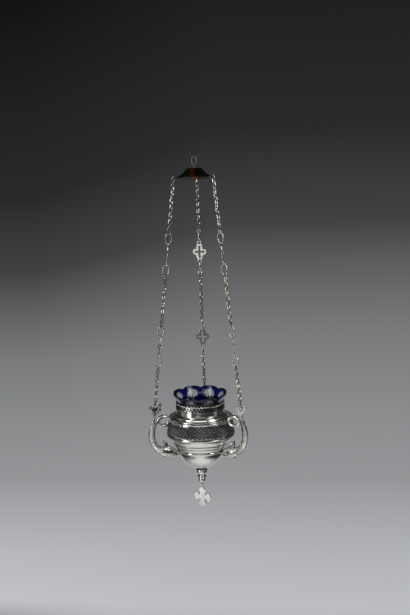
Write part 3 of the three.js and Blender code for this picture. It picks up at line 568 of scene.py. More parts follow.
top_ring = flat_loop(oval(RING_HALF_WIDTH, RING_HALF_HEIGHT, RING_CENTRE_Z, 48, 2.2), RING_WIRE, 14)
make_object("top_ring", top_ring, top_metal, "top_ring", ["hanging_ring"])

stem_eye = moved(flat_loop(oval(EYE_RADIUS, EYE_RADIUS, EYE_CENTRE_Z, 36), EYE_WIRE, 12), about_z(90))
collar = curve_points([(1.5, -14.6), (1.6, -14.9), (3.0, -14.95), (3.2, -15.3), (3.0, -15.66),
                       (1.45, -15.7)], 3)
shank = [(1.4, -21.3), (1.1, -21.6), (0.02, -21.6)]
stem_shank = lathe([(0.02, -15.0)] + collar + shank, 32)
make_object("stem", join_parts([stem_eye, stem_shank]), top_metal, "stem", ["hook_stem"])


def canopy_part():
    rim = CANOPY_RIM_RADIUS
    outside = curve_points([(1.7, CANOPY_TOP_Z), (6.5, CANOPY_TOP_Z), (9.6, -16.2), (11.6, -16.9),
                            (12.8, -18.4), (14.6, -20.8), (17.2, -23.2), (20.6, -25.7), (24.0, -27.7),
                            (rim - 0.5, -28.9), (rim, -29.35)], 4)
    lip = curve_points([(rim - 0.05, -29.7), (rim - 0.6, CANOPY_RIM_Z), (rim - 1.1, -29.6)], 3)
    inside = curve_points([(rim - 1.3, -29.1), (23.0, -28.5), (19.8, -26.6), (16.4, -24.1), (13.7, -21.6),
                           (11.7, -19.2), (10.5, -17.9), (9.0, -17.3), (6.0, -17.1), (1.7, -17.1)], 4)
    return lathe(outside + lip + inside, 128)


def ear_part():
    tip = CHAIN_TOP_RADIUS + 0.65
    half = [(24.6, 3.6), (26.4, 3.3), (28.2, 2.75), (30.1, 2.55), (31.6, 2.1), (32.4, 1.2), (tip, 0.0)]
    outline = half + [(x, -y) for x, y in reversed(half[:-1])]
    flat = plate_part(outline, [circle(EAR_HOLE_R, 0, EAR_HOLE_RADIUS)], EAR_THICKNESS, 0.25)
    lift = Matrix.Translation((0, 0, CANOPY_RIM_Z + EAR_THICKNESS / 2))
    return moved(flat, lift @ Matrix.Rotation(pi / 2, 4, "X"))


canopy_ears = [moved(ear_part(), about_z(angle)) for angle in CHAIN_ANGLES.values()]
make_object("canopy_shell", join_parts([canopy_part()] + canopy_ears), canopy_painted_dark_metal, "canopy",
            ["canopy"])


# Chains

def chain_frame(side):
    """From the chain's own frame, hanging straight down, to its place on the lamp."""
    lean = asin((CHAIN_BOTTOM_RADIUS - CHAIN_TOP_RADIUS) / CHAIN_LENGTH)
    turn = about_z(CHAIN_ANGLES[side])
    top = turn @ Vector((CHAIN_TOP_RADIUS, 0, CHAIN_TOP_Z))
    return Matrix.Translation(top) @ turn @ Matrix.Rotation(-lean, 4, "Y")


def chain_stations():
    """Height of the top of each piece's inner opening, in the chain's own frame."""
    drops = [("upper_run", UPPER_LINKS * LINK_LENGTH), ("ring_1", RING_INNER_HEIGHT),
             ("plaque_1", PLAQUE_INNER_HEIGHT), ("ring_2", RING_INNER_HEIGHT),
             ("middle_run", MIDDLE_LINKS * LINK_LENGTH), ("ring_3", RING_INNER_HEIGHT),
             ("plaque_2", PLAQUE_INNER_HEIGHT), ("ring_4", RING_INNER_HEIGHT),
             ("lower_run", LOWER_LINKS * LINK_LENGTH)]
    stations = {}
    height = SEAT_GAP
    for name, drop in drops:
        stations[name] = height
        height += SEAT_GAP - drop
    return stations


def chain_run(top, count, first_is_radial, wobble, twist):
    """Links that hang in each other, every other one turned by a quarter. Away from its ends the run
    is turned by twist, and each link a little more or less."""
    half_height = LINK_LENGTH / 2 + LINK_WIRE
    link = flat_loop(round_ended(LINK_HALF_WIDTH, half_height, 0), LINK_WIRE, 8)
    parts = []
    for i in range(count):
        radial = (i % 2 == 0) == first_is_radial
        turn = (0 if radial else 90) + LINK_UNEVENNESS * sin(1.7 * i + wobble)
        turn += twist * min(1.0, i / 3, (count - 1 - i) / 3)
        lower = Matrix.Translation((0, 0, top - (i + 0.5) * LINK_LENGTH))
        parts.append(moved(link, lower @ about_z(turn)))
    return join_parts(parts)


def ring_part(top):
    half_height = RING_INNER_HEIGHT / 2 + CHAIN_RING_WIRE
    centre = top - RING_INNER_HEIGHT / 2
    return flat_loop(oval(CHAIN_RING_HALF_WIDTH, half_height, centre, 40, 2.25), CHAIN_RING_WIRE, 12)


def mirrored_round(quarter):
    """The full outline from its quarter between +X and +Z."""
    upper = quarter + [(-x, z) for x, z in reversed(quarter[:-1])]
    return upper + [(-x, -z) for x, z in upper[1:-1]]


def plaque_part():
    quarter = arc((PLAQUE_HALF_WIDTH - PLAQUE_ARM_RADIUS, 0), PLAQUE_ARM_RADIUS, 0, 80, 8)
    quarter += [(5.3, 4.9), (6.0, 6.0), (4.9, 5.3)]
    quarter += arc((0, PLAQUE_ARM_END - PLAQUE_ARM_RADIUS), PLAQUE_ARM_RADIUS, 10, 47, 5)
    quarter += arc((0, EYELET_Z), EYELET_RADIUS, -28, 90, 9)
    slot = [(1.3, 9.0), (1.3, 1.3), (6.9, 1.3)]
    right_half = slot + [(x, -z) for x, z in reversed(slot)]
    cross = right_half + [(-x, -z) for x, z in right_half]
    holes = [cross] + [circle(0, side * EYELET_HOLE_Z, EYELET_HOLE_RADIUS) for side in (1, -1)]
    return plate_part(mirrored_round(quarter), holes, PLAQUE_THICKNESS, 0.3)


# Each run's name, its count of links and whether its first link lies in the chain's radial plane
LINK_RUNS = [("upper_run", UPPER_LINKS, True), ("middle_run", MIDDLE_LINKS, False),
             ("lower_run", LOWER_LINKS, False)]
# Each side's phase of the links' unevenness in radians, and twist of its runs in degrees
CHAIN_WEAR = [("back", 0.4, -40.0), ("left", 1.9, 20.0), ("right", 3.1, -10.0)]

plaque_shape = plaque_part()
stations = chain_stations()
for side, wobble, twist in CHAIN_WEAR:
    place = chain_frame(side)
    body = "chain_" + side
    for run, count, first_is_radial in LINK_RUNS:
        links = moved(chain_run(stations[run], count, first_is_radial, wobble, twist), place)
        make_object(f"links_{side}_{run}", links, chain_metal, body, [f"chain_{side}_{run}"])
    for ring in ("ring_1", "ring_2", "ring_3", "ring_4"):
        oval_ring = moved(ring_part(stations[ring]), place)
        make_object(f"oval_{side}_{ring}", oval_ring, ring_metal, body, [f"chain_{side}_{ring}"])
    for plaque, turn in zip(("plaque_1", "plaque_2"), PLAQUE_TURNS[side]):
        centre = Matrix.Translation((0, 0, stations[plaque] - PLAQUE_INNER_HEIGHT / 2))
        cross_plaque = moved(plaque_shape, place @ centre @ about_z(90 + turn))
        make_object(f"cross_{side}_{plaque}", cross_plaque, ring_metal, f"plaque_{side}_{plaque[-1]}",
                    [f"chain_{side}_{plaque}"], smooth_angle=30)


# Oil glass

def petal_height(angle):
    """1 at a petal's tip and 0 between two petals."""
    across = (angle * PETALS / (2 * pi)) % 1.0
    return sqrt(max(0.0, 1 - abs(2 * across - 1) ** 2.3))


def glass_object():
    """The glass, from profiles of (radius, height, share of the petals' dip). The mesh says for each
    point how far it is part of a window and of the rim's edge."""
    outside = curve_points([(4.0, GLASS_FOOT_Z, 0), (14.5, GLASS_FOOT_Z, 0), (17.2, GLASS_FOOT_Z + 1.6, 0),
                            (20.5, -409.0, 0), (24.5, -401.0, 0), (28.2, -389.0, 0), (31.4, -374.0, 0),
                            (32.9, -362.0, 0), (33.5, -353.0, 0), (33.9, -349.0, 0), (35.5, -345.0, 0.35),
                            (38.2, -340.6, 0.8), (39.4, GLASS_RIM_Z - 1.5, 1)], 5)
    rim = curve_points([(39.4, GLASS_RIM_Z - 0.5, 1), (38.4, GLASS_RIM_Z, 1),
                        (37.3, GLASS_RIM_Z - 0.6, 1)], 4)
    inside = curve_points([(36.8, GLASS_RIM_Z - 1.6, 1), (34.8, -342.0, 0.7), (32.5, -347.2, 0.3),
                           (31.5, -352.0, 0), (30.6, -362.0, 0), (29.0, -374.0, 0), (25.9, -389.0, 0),
                           (22.2, -401.0, 0), (18.0, -408.5, 0), (14.0, GLASS_FOOT_Z + 3.2, 0),
                           (4.0, GLASS_FOOT_Z + 2.6, 0)], 5)
    steps = PETALS * PETAL_STEPS
    points = []
    windows = []
    edges = []
    rings = outside + rim + inside
    for radius, height, weight in rings:
        for k in range(steps):
            angle = 2 * pi * (k + 0.5) / steps
            dip = weight * (1 - petal_height(angle))
            r = radius - PETAL_INSET * dip
            z = height - PETAL_DIP * dip
            turn = angle + pi / 2 + radians(PETAL_TURN)
            points.append((r * cos(turn), r * sin(turn), z))
            across = ((angle * PETALS / (2 * pi)) % 1.0 - 0.5) * 2 * pi * radius / PETALS
            far = hypot(across / WINDOW_HALF_WIDTH, (z - WINDOW_Z) / WINDOW_HALF_HEIGHT)
            windows.append(share_between(far, 1.04, 0.96) if z > WINDOW_LOWEST_Z else 0.0)
            edges.append(share_between(GLASS_RIM_Z - height, 3.0, 1.4))
    faces = grid_faces(len(rings), steps, True)
    seat = Vector((0, 0, NECK_TOP_Z))
    tilt = Matrix.Rotation(radians(GLASS_TILT), 3, "X")
    points = [seat + tilt @ (Vector(p) - seat) for p in points]
    cup = make_object("glass_cup", (points, faces), cobalt, "glass", ["oil_glass"],
                      smooth_angle=60)
    for name, values in (("window", windows), ("edge", edges)):
        attribute = cup.data.attributes.new(name, "FLOAT", "POINT")
        attribute.data.foreach_set("value", values)
    paint_faces(cup, ground_glass, lambda face: all(windows[v] > 0.5 for v in face.vertices))


glass_object()


# Pierced walls

def pierced_wall(count, rows, upper_z, lower_z, half_height, half_share, top, bottom, radius_at, crown,
                 crowned_top=False):
    """A wall turned about Z with rows of diamond holes, each row half a step round from the last. The
    straps between the holes stand proud in their middle by crown.
    top and bottom list the rings of the plain margins, from the edge inwards, as (height over a
    hole, height between holes)."""
    pitch = 2 * pi / count
    half = pitch / 2 * half_share
    points = []
    faces = []

    def pair(angle, z):
        for radius in (radius_at(z), radius_at(z) - WALL):
            points.append((radius * cos(angle), radius * sin(angle), z))
        return len(points) - 2

    def skin(*corners):
        faces.append(tuple(corners))
        faces.append(tuple(c + 1 for c in reversed(corners)))

    def strap(*corners):
        middle = sum((Vector(points[c]) for c in corners), Vector()) / len(corners)
        grow = 1 + crown / hypot(middle.x, middle.y)
        points.append((middle.x * grow, middle.y * grow, middle.z))
        for a, b in zip(corners, corners[1:] + corners[:1]):
            faces.append((a, b, len(points) - 1))
        faces.append(tuple(c + 1 for c in reversed(corners)))

    def edge(a, b):
        faces.append((b, a, a + 1, b + 1))

    holes = []
    row_step = (upper_z - lower_z) / (rows - 1)
    for j in range(rows):
        z = upper_z - j * row_step
        row = []
        for i in range(count):
            angle = (i + (j % 2) / 2) * pitch
            hole = [pair(angle - half, z), pair(angle, z + half_height), pair(angle + half, z),
                    pair(angle, z - half_height)]
            for k in range(4):
                edge(hole[k], hole[(k + 1) % 4])
            row.append(hole)
        holes.append(row)
    left, up, right, down = range(4)

    def rim_rings(levels, shift):
        return [[pair((i + shift) / 2 * pitch, level[i % 2]) for i in range(2 * count)] for level in levels]

    over = rim_rings(top, 0)
    under = rim_rings(bottom, (rows - 1) % 2)
    top_layer = strap if crowned_top else skin
    for i in range(count):
        a, b, c = 2 * i, 2 * i + 1, (2 * i + 2) % (2 * count)
        for outer, inner in zip(over, over[1:]):
            for first, second in ((a, b), (b, c)):
                top_layer(outer[first], inner[first], inner[second], outer[second])
        for outer, inner in zip(under, under[1:]):
            for first, second in ((a, b), (b, c)):
                skin(outer[second], inner[second], inner[first], outer[first])
        edge(over[0][a], over[0][b])
        edge(over[0][b], over[0][c])
        edge(under[0][b], under[0][a])
        edge(under[0][c], under[0][b])
        first, second = holes[0][i], holes[0][(i + 1) % count]
        strap(over[-1][a], first[up], first[right], over[-1][b])
        strap(over[-1][b], second[left], second[up], over[-1][c])
        last, after = holes[-1][i], holes[-1][(i + 1) % count]
        strap(under[-1][a], under[-1][b], last[right], last[down])
        strap(under[-1][b], under[-1][c], after[down], after[left])
        for j in range(rows):
            here, beside = holes[j][i], holes[j][(i + 1) % count]
            shift = j % 2
            above = holes[j - 1][(i + shift) % count][down] if j > 0 else over[-1][b]
            below = holes[j + 1][(i + shift) % count][up] if j + 1 < rows else under[-1][b]
            strap(here[right], below, beside[left], above)
            if j + 1 < rows:
                lower = holes[j + 1][(i + shift) % count]
                back = holes[j + 1][(i + shift - 1) % count]
                strap(here[right], here[down], lower[left], lower[up])
                strap(here[left], back[up], back[right], here[down])
    return points, faces


def neck_radius(z):
    foot = max(0.0, (NECK_BASE_Z + NECK_FOOT_HEIGHT - z) / NECK_FOOT_HEIGHT)
    return NECK_RADIUS + NECK_FOOT_FLARE * foot ** 2


neck_levels = [NECK_BASE_Z, NECK_BASE_Z + NECK_FOOT_HEIGHT / 2, NECK_BASE_Z + NECK_FOOT_HEIGHT,
               NECK_TOP_Z - 12.2, NECK_TOP_Z - 10.9]
neck_wall = pierced_wall(
    count=NECK_TEETH, rows=NECK_ROWS, upper_z=NECK_TOP_Z - 5.3, lower_z=NECK_TOP_Z - 8.2,
    half_height=NECK_HOLE_HALF_HEIGHT, half_share=0.72,
    top=[(NECK_TOP_Z, NECK_TOP_Z - 3.4), (NECK_TOP_Z - 1.6, NECK_TOP_Z - 4.2)],
    bottom=[(z, z) for z in neck_levels], radius_at=neck_radius, crown=0.4, crowned_top=True)
neck = make_object("neck_wall", neck_wall, neck_silver, "lamp", ["neck_gallery"],
                   smooth_angle=50)
# Painted shade on the neck's inward faces and hole sides.
paint_faces(neck, shaded_inner_silver, faces_inwards)


def belly_radius(z):
    """Wall radius of the belly band: a rounded edge above, and a slow swell as it widens."""
    drop = BELLY_TOP_Z - z
    share = drop / (BELLY_TOP_Z - BELLY_BASE_Z)
    radius = BELLY_TOP_RADIUS + BELLY_WIDENING * share + BELLY_SWELL * sin(pi * share)
    if drop < BELLY_BEAD_HEIGHT:
        radius += BELLY_BEAD_DEPTH * sin(pi * drop / BELLY_BEAD_HEIGHT)
    return radius


belly_levels = [BELLY_TOP_Z - drop for drop in (0, 0.3, 0.7, 1.2, 1.7, 2.1, 2.6)]
belly_band = pierced_wall(
    count=BELLY_HOLES, rows=BELLY_ROWS, upper_z=BELLY_TOP_Z - 4.9, lower_z=BELLY_BASE_Z + 2.9,
    half_height=BELLY_HOLE_HALF_HEIGHT, half_share=0.74, top=[(z, z) for z in belly_levels],
    bottom=[(BELLY_BASE_Z, BELLY_BASE_Z), (BELLY_BASE_Z + 0.9, BELLY_BASE_Z + 0.9)],
    radius_at=belly_radius, crown=0.45)
belly = make_object("belly_band", belly_band, pierced_silver, "lamp", ["belly_gallery"],
                    smooth_angle=50)
# Painted shade on the belly band's inward faces and hole sides.
paint_faces(belly, shaded_inner_silver, faces_inwards)


# Shoulder and bowl

def shoulder_part():
    outside = [(35.3, SHOULDER_TOP_Z), (36.2, SHOULDER_TOP_Z), (36.5, -367.2)]
    outside += curve_points([(37.3, -367.2), (38.9, -367.7), (40.2, -368.8), (40.9, -370.3)], 5)
    outside += curve_points([(41.3, -371.0), (42.5, -371.5), (44.0, -371.6)], 4)
    outside += arc((45.15, -372.5), 1.25, 135, -15, 8)
    inside = [(43.4, SHOULDER_BASE_Z), (40.6, -371.9), (39.6, -370.0), (38.0, -368.8), (34.8, -368.4),
              (34.1, SHOULDER_TOP_Z)]
    return lathe(outside + inside, 160)


def bowl_part():
    outside = [(48.0, BOWL_TOP_Z), (48.9, BOWL_TOP_Z)]
    outside += arc((48.75, -397.55), 1.25, 75, -70, 10)
    outside += curve_points([(48.5, -399.2), (48.2, -400.9), (47.0, -403.6), (45.4, -405.9),
                             (44.1, -407.2)], 4)
    outside += [(43.6, -407.4), (42.9, -407.7), (42.9, -408.0)]
    outside += curve_points([(43.5, -408.3), (43.1, -409.6), (42.0, -411.2), (41.0, -412.1)], 4)
    outside += [(40.4, -412.2), (39.7, -412.5), (39.7, -412.8)]
    outside += curve_points([(40.2, -413.2), (39.7, -414.6), (38.5, -416.4), (37.3, -417.5)], 4)
    outside += [(36.4, -417.8), (35.4, -418.2)]
    outside += arc((34.3, -420.2), 2.0, 68, -62, 12)
    outside += curve_points([(34.3, -422.3), (33.2, -422.9), (32.9, -424.0), (32.5, -427.0), (31.3, -430.6),
                             (29.4, -433.8), (27.2, -436.7), (24.3, -439.8), (20.6, -443.0), (15.8, -446.3),
                             (11.0, -449.0), (8.4, -450.6), (7.6, -451.1), (6.6, BOWL_FOOT_Z),
                             (1.7, BOWL_FOOT_Z)], 4)
    inside = [(1.7, BOWL_FOOT_Z + WALL), (6.0, BOWL_FOOT_Z + WALL)]
    inside += curve_points([(10.2, -447.9), (15.0, -445.1), (19.6, -442.0), (23.3, -438.8), (26.2, -435.7),
                            (28.3, -432.8), (30.1, -429.7), (31.2, -426.4), (31.6, -423.5),
                            (31.7, -421.0)], 3)
    inside += [(34.0, -417.5), (38.5, -412.5), (42.6, -407.0), (46.6, -400.6), (48.0, -397.2)]
    return lathe(outside + inside, 160)


make_object("shoulder_ring", shoulder_part(), silver, "lamp", ["shoulder"], smooth_angle=35)
bowl = make_object("bowl", bowl_part(), silver, "lamp", ["lower_bowl"], smooth_angle=35)
# Painted shade on the bowl's inside.
paint_faces(bowl, shaded_inner_silver, lambda face: face.normal.z > 0.05 and faces_inwards(face))


# Dolphin handles, drawn in the XZ plane with the lamp's axis at x = 0

def dolphin_spine():
    """(r, z, half width in the plane, half thickness across) from the mouth to the tail's root."""
    controls = [(36.9, -422.6, 2.6, 2.9), (39.5, -422.2, 3.6, 3.7), (44.0, -420.4, 5.6, 4.6),
                (50.0, -418.3, 7.6, 5.6), (56.0, -417.2, 7.5, 5.6), (62.2, -415.4, 6.2, 5.0),
                (68.6, -411.0, 4.9, 4.3), (73.6, -404.0, 4.4, 3.9), (76.2, -396.0, 4.1, 3.5),
                (77.2, -388.0, 3.7, 3.1), (76.2, -380.0, 3.0, 2.6), (73.6, -372.5, 2.4, 2.1),
                (71.8, -366.0, 1.5, 1.5), (71.2, -361.0, 1.7, 1.4), (71.0, -357.0, 2.4, 1.2)]
    return curve_points(controls, 14)


def scale_height(length, share, fade):
    """Overlapping scales: each rises towards its free edge."""
    row = length / SCALE_PITCH
    column = share * SCALES_ROUND + 0.5 * (int(floor(row)) % 2)
    along = row - floor(row)
    across = abs(2 * (column - floor(column)) - 1)
    free_edge = sqrt(1 - (1 - across) ** 2.2)
    return SCALE_LIFT * fade * along * (0.35 + 0.65 * free_edge)


def dolphin_body():
    spine = dolphin_spine()
    sides = 60
    points = []
    length = 0.0
    for i, (r, z, wide, thick) in enumerate(spine):
        before = spine[max(i - 1, 0)]
        after = spine[min(i + 1, len(spine) - 1)]
        along = np.array([after[0] - before[0], after[1] - before[1]])
        along /= np.linalg.norm(along)
        if i:
            length += hypot(r - before[0], z - before[1])
        out = np.array([along[1], -along[0]])
        fade = share_between(length, 22.0, 26.0) * share_between(length, 88.0, 74.0)
        for k in range(sides):
            share = k / sides
            angle = 2 * pi * share
            belly = max(0.0, -cos(angle)) ** 4
            bump = scale_height(length, share, fade * (1 - belly)) - 0.25 * fade
            x = cos(angle) * (wide + bump)
            y = sin(angle) * (thick + bump)
            points.append((r + out[0] * x, y, z + out[1] * x))
    faces = grid_faces(len(spine), sides, False)
    close_ends(points, faces, sides, *[(r, 0, z) for r, z, _, _ in (spine[0], spine[-1])])
    return points, faces


def scroll_part():
    ring = []
    for i in range(48):
        angle = radians(-150 + 7.5 * i)
        ring.append((SCROLL_R + SCROLL_RING_HALF_WIDTH * cos(angle),
                     SCROLL_Z + SCROLL_RING_HALF_HEIGHT * sin(angle)))
    eye = squashed_loop(ring, 2.6, 2.7, 14)
    tail = curve_points([(62.6, -366.3), (66.4, -369.0), (69.4, -375.0), (71.6, -382.5), (72.4, -390.0),
                         (71.3, -398.0), (67.9, -405.5), (63.0, -410.0)], 6)
    path = [(r, 0, z) for r, z in tail]
    widths = [(1.5 - 0.8 * i / len(tail), 2.1 - 0.4 * i / len(tail)) for i in range(len(tail))]
    boss = lathe([(0.1, 46.9), (2.1, 46.9), (2.1, 50.6), (0.1, 50.6)], 20)
    outward = Matrix.Translation((0, 0, RIVET_Z)) @ Matrix.Rotation(pi / 2, 4, "Y")
    return join_parts([eye, tube(path, widths, 14), moved(boss, outward)])


def cord(line, y, wide, thick):
    """A cord along (r, z) points, laid on the dolphin's side at y."""
    return tube([(r, y, z) for r, z in line], [(wide, thick)] * len(line), 8)


def fluke_parts():
    outer = [(73.4, -364.0), (74.6, -358.5), (77.0, -354.8), (79.3, -352.0), (79.6, -349.4), (78.2, -347.4),
             (76.0, -347.9), (75.4, -350.6), (73.8, -351.2), (72.6, -349.0), (72.0, -346.9), (71.2, -345.9),
             (69.6, -345.7), (68.2, -346.6), (67.6, -349.4), (66.2, -350.8), (64.6, -349.4), (64.0, -346.6),
             (62.4, -345.4), (60.6, -346.4), (60.4, -349.6), (62.2, -352.8), (60.9, -355.2), (61.6, -357.6),
             (65.0, -357.4), (67.6, -359.8), (69.4, -364.0)]
    hole = circle(CHAIN_BOTTOM_RADIUS, TAIL_HOLE_Z, TAIL_HOLE_RADIUS)
    parts = [plate_part(curve_points(outer, 3), [hole], TAIL_THICKNESS, 0.4)]
    ribs = [((78.0, -349.6), (72.3, -362)), ((76.4, -351.6), (71.9, -360)), ((62.2, -347.6), (70.4, -362)),
            ((64.4, -352.0), (70.8, -360)), ((62.6, -356.2), (70.2, -361))]
    for tip, root in ribs:
        bend = ((tip[0] + root[0]) / 2 - 0.6, (tip[1] + root[1]) / 2 - 1.2)
        line = curve_points([root, bend, tip], 5)
        for side in (-1, 1):
            parts.append(cord(line, side, 0.55, 0.5))
    return parts


def fin_parts():
    ear = [(56.5, -413.5), (58.0, -409.5), (58.8, -404.5), (58.0, -401.3), (56.0, -402.2), (54.8, -405.0),
           (53.6, -403.4), (52.2, -405.2), (52.4, -409.0), (53.2, -413.0)]
    chin = [(56.0, -422.0), (59.0, -422.4), (59.4, -424.6), (58.4, -427.6), (57.0, -424.8)]
    return [plate_part(curve_points(ear, 3), [], EAR_FIN_THICKNESS, 1.0),
            plate_part(curve_points(chin, 3), [], CHIN_FIN_THICKNESS, 0.8)]


def head_parts():
    """Eyes, brows, gills and lips, alike on both sides of the head."""
    brow = curve_points([(39.8, -419.2), (43.6, -415.9), (48.8, -413.0), (54.0, -412.2), (58.0, -413.2)], 5)
    gill = curve_points([(54.6, -412.6), (57.0, -416.4), (57.2, -420.4), (55.0, -423.6)], 5)
    lip = curve_points([(37.2, -424.0), (41.6, -424.2), (46.0, -424.0), (50.2, -423.0)], 5)
    socket = flat_loop(oval(2.3, 2.3, EYE_Z, 24), 0.55, 8)
    parts = []
    for side in (-1, 1):
        parts.append(ball((EYE_R, side * 4.35, EYE_Z), (1.9, 1.0, 1.9)))
        parts.append(moved(socket, Matrix.Translation((EYE_R, side * 4.3, 0))))
        parts.append(cord(brow, side * 2.5, 0.95, 0.9))
        parts.append(cord(gill, side * 4.6, 0.8, 0.8))
        parts.append(cord(lip, side * 3.9, 0.75, 0.8))
    return parts


handle_shape = join_parts([dolphin_body(), scroll_part()] + fluke_parts() + fin_parts() + head_parts())
for side, angle in CHAIN_ANGLES.items():
    dolphin = moved(handle_shape, about_z(angle))
    make_object(f"dolphin_{side}", dolphin, cast_silver, "lamp", [f"handle_{side}"],
                smooth_angle=45)


# Finial and pendant

knob_profile = ([(1.6, KNOB_TOP_Z), (7.4, KNOB_TOP_Z)] + arc((7.5, -452.7), 0.95, 80, -60, 8)
                + curve_points([(7.7, -453.8), (7.9, -455.4), (7.4, -457.4), (6.2, -459.2), (4.9, -460.6),
                                (4.5, -461.8)], 4)
                + curve_points([(4.9, -462.4), (6.2, -462.6), (6.7, -463.2), (6.4, -463.9),
                                (5.2, -464.34)], 4)
                + [(1.6, -464.34)])
make_object("knob", lathe(knob_profile, 64), silver, "lamp", ["finial_knob"])

ball_profile = [(1.6, BALL_TOP_Z)] + arc((0, -468.14), 5.4, 40, -40, 16) + [(1.6, -471.64)]
make_object("ball", lathe(ball_profile, 64), silver, "lamp", ["finial_ball"])

bolt_eye = flat_loop(oval(1.5, 1.5, BOLT_EYE_TOP_Z - 1.0, 32), 0.5, 10)
bolt_tip = lathe([(0.02, -446.4), (1.3, -446.4), (1.3, -471.9)]
                 + curve_points([(2.2, -471.98), (2.15, -472.5), (1.2, -473.3), (0.7, -473.7)], 4)
                 + [(0.02, -473.74)], 24)
bolt_part = join_parts([moved(bolt_eye, about_z(PENDANT_TURN)), bolt_tip])
make_object("bolt", bolt_part, ring_metal, "lamp", ["finial_bolt"])

loop_middle = (LOOP_TOP_Z + LOOP_BOTTOM_Z) / 2
loop_part = moved(flat_loop(oval(2.15, 2.15, loop_middle, 36), 0.45, 10), about_z(90 + PENDANT_TURN))
make_object("pendant_link", loop_part, ring_metal, "pendant_loop", ["pendant_loop"])


def cross_part():
    arm = [(3.1, 3.1), (5.2, 3.3), (7.0, 4.4), (8.8, 5.8), (10.6, 6.0), (12.2, 4.4), (13.5, 2.2)]
    outline = []
    for turn, reach in enumerate((14.3, 14.7, 14.3, 14.7)):
        side = [(x, -z) for x, z in arm] + [(reach, 0.0)] + list(reversed(arm))
        angle = radians(90 * turn)
        for x, z in side:
            outline.append((x * cos(angle) - z * sin(angle),
                            CROSS_CENTRE_Z + x * sin(angle) + z * cos(angle)))
    blade = plate_part(outline, [], CROSS_THICKNESS, 0.4)
    eyelet = flat_loop(oval(1.35, 1.35, CROSS_EYE_Z, 28), 0.45, 10)
    return join_parts([blade, eyelet])


make_object("cross", moved(cross_part(), about_z(PENDANT_TURN)), satin_silver, "pendant_cross",
            ["pendant_cross"], smooth_angle=30)


# CAD nodes that keep their own shape

kept_nodes = {"stem_nut": chain_metal, "finial_nut": chain_metal}
for side in CHAIN_ANGLES:
    for kind in ("handle_rivet", "handle_screw"):
        kept_nodes[f"{kind}_{side}"] = ring_metal
for node, metal in kept_nodes.items():
    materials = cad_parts[node].data.materials
    materials.clear()
    materials.append(metal)


# Stage, light and camera, in metres

STAGE_LEFT = -0.74
STAGE_RIGHT = 0.58
# The floor and the sweep up behind it, as (y, z)
STAGE_PROFILE = [(-1.9, -0.95), (-0.8, -0.95), (-0.2, -0.95), (0.2, -0.95), (0.4, -0.935), (0.6, -0.88),
                 (0.76, -0.78), (0.88, -0.62), (0.94, -0.42), (0.95, -0.2), (0.95, 0.8)]
# Painted light behind the lamp, as (z, level). Towards the left the levels close up about
# STAGE_MIDDLE.
STAGE_LEVELS = [(-1.0, 0.62), (-0.88, 0.47), (-0.75, 0.31), (-0.4, 0.2), (-0.1, 0.055), (0.15, 0.023),
                (0.8, 0.006)]
STAGE_MIDDLE = -0.8
PAPER_TINT = (0.97, 0.985, 1.02)
PAPER_GLOW = 1.25
PAPER_GLOW_SHARE = 0.75

# Name, place, the point it shines at, width and length, and watts
SOFTBOXES = [("key", (-0.76, -0.68, -0.05), (0, 0, -0.38), (0.2, 1.8), 5.4),
             ("right", (0.88, -0.55, 0.30), (0, 0, -0.38), (0.35, 0.8), 3.6),
             ("overhead", (0.0, -0.98, 0.25), (0, 0, -0.36), (1.2, 0.3), 1.5),
             ("front", (-0.12, -1.22, -0.48), (0, 0.0447, -0.135), (0.34, 0.16), 0.19)]


def painted_paper_light(tree):
    """Painted light on the paper: levels by height behind the lamp, and on the floor a grey that
    falls off to the sides, the back and the front."""
    x, y, z = add_place(tree)
    low = STAGE_LEVELS[0][0]
    high = STAGE_LEVELS[-1][0]
    steepness = add_range(tree, x, -0.55, -0.05, 1.22, 1.0)
    above = add_math(tree, "SUBTRACT", z, STAGE_MIDDLE)
    leaning = add_math(tree, "ADD", add_math(tree, "MULTIPLY", above, steepness), STAGE_MIDDLE)
    # Painted light falloff up the backdrop.
    ramp = tree.nodes.new("ShaderNodeValToRGB")
    elements = ramp.color_ramp.elements
    for level_z, _ in STAGE_LEVELS[1:-1]:
        elements.new((level_z - low) / (high - low))
    for element, (_, level) in zip(elements, STAGE_LEVELS):
        element.color = (*[level * part for part in PAPER_TINT], 1)
    tree.links.new(add_range(tree, leaning, low, high, 0.0, 1.0), ramp.inputs["Fac"])
    # Painted pool of light on the floor, falling off to the sides, the back and the front.
    beside = add_range(tree, add_math(tree, "ABSOLUTE", x), 0.22, 0.5, 1.0, 0.3)
    ahead = add_range(tree, y, -0.05, 0.2, 0.76, 0.42)
    front = add_range(tree, y, -1.45, -1.0, 0.09, 1.0)
    floor_level = add_math(tree, "MULTIPLY", add_math(tree, "MULTIPLY", beside, ahead), front)
    behind = add_range(tree, y, 0.36, 0.46, 0.0, 1.0)
    return add_mix(tree, behind, floor_level, ramp.outputs["Color"])


def mix_shaders(tree, share, first, second):
    node = tree.nodes.new("ShaderNodeMixShader")
    for socket, value in zip(node.inputs, (share, first, second)):
        tree.links.new(value, socket)
    return node.outputs["Shader"]


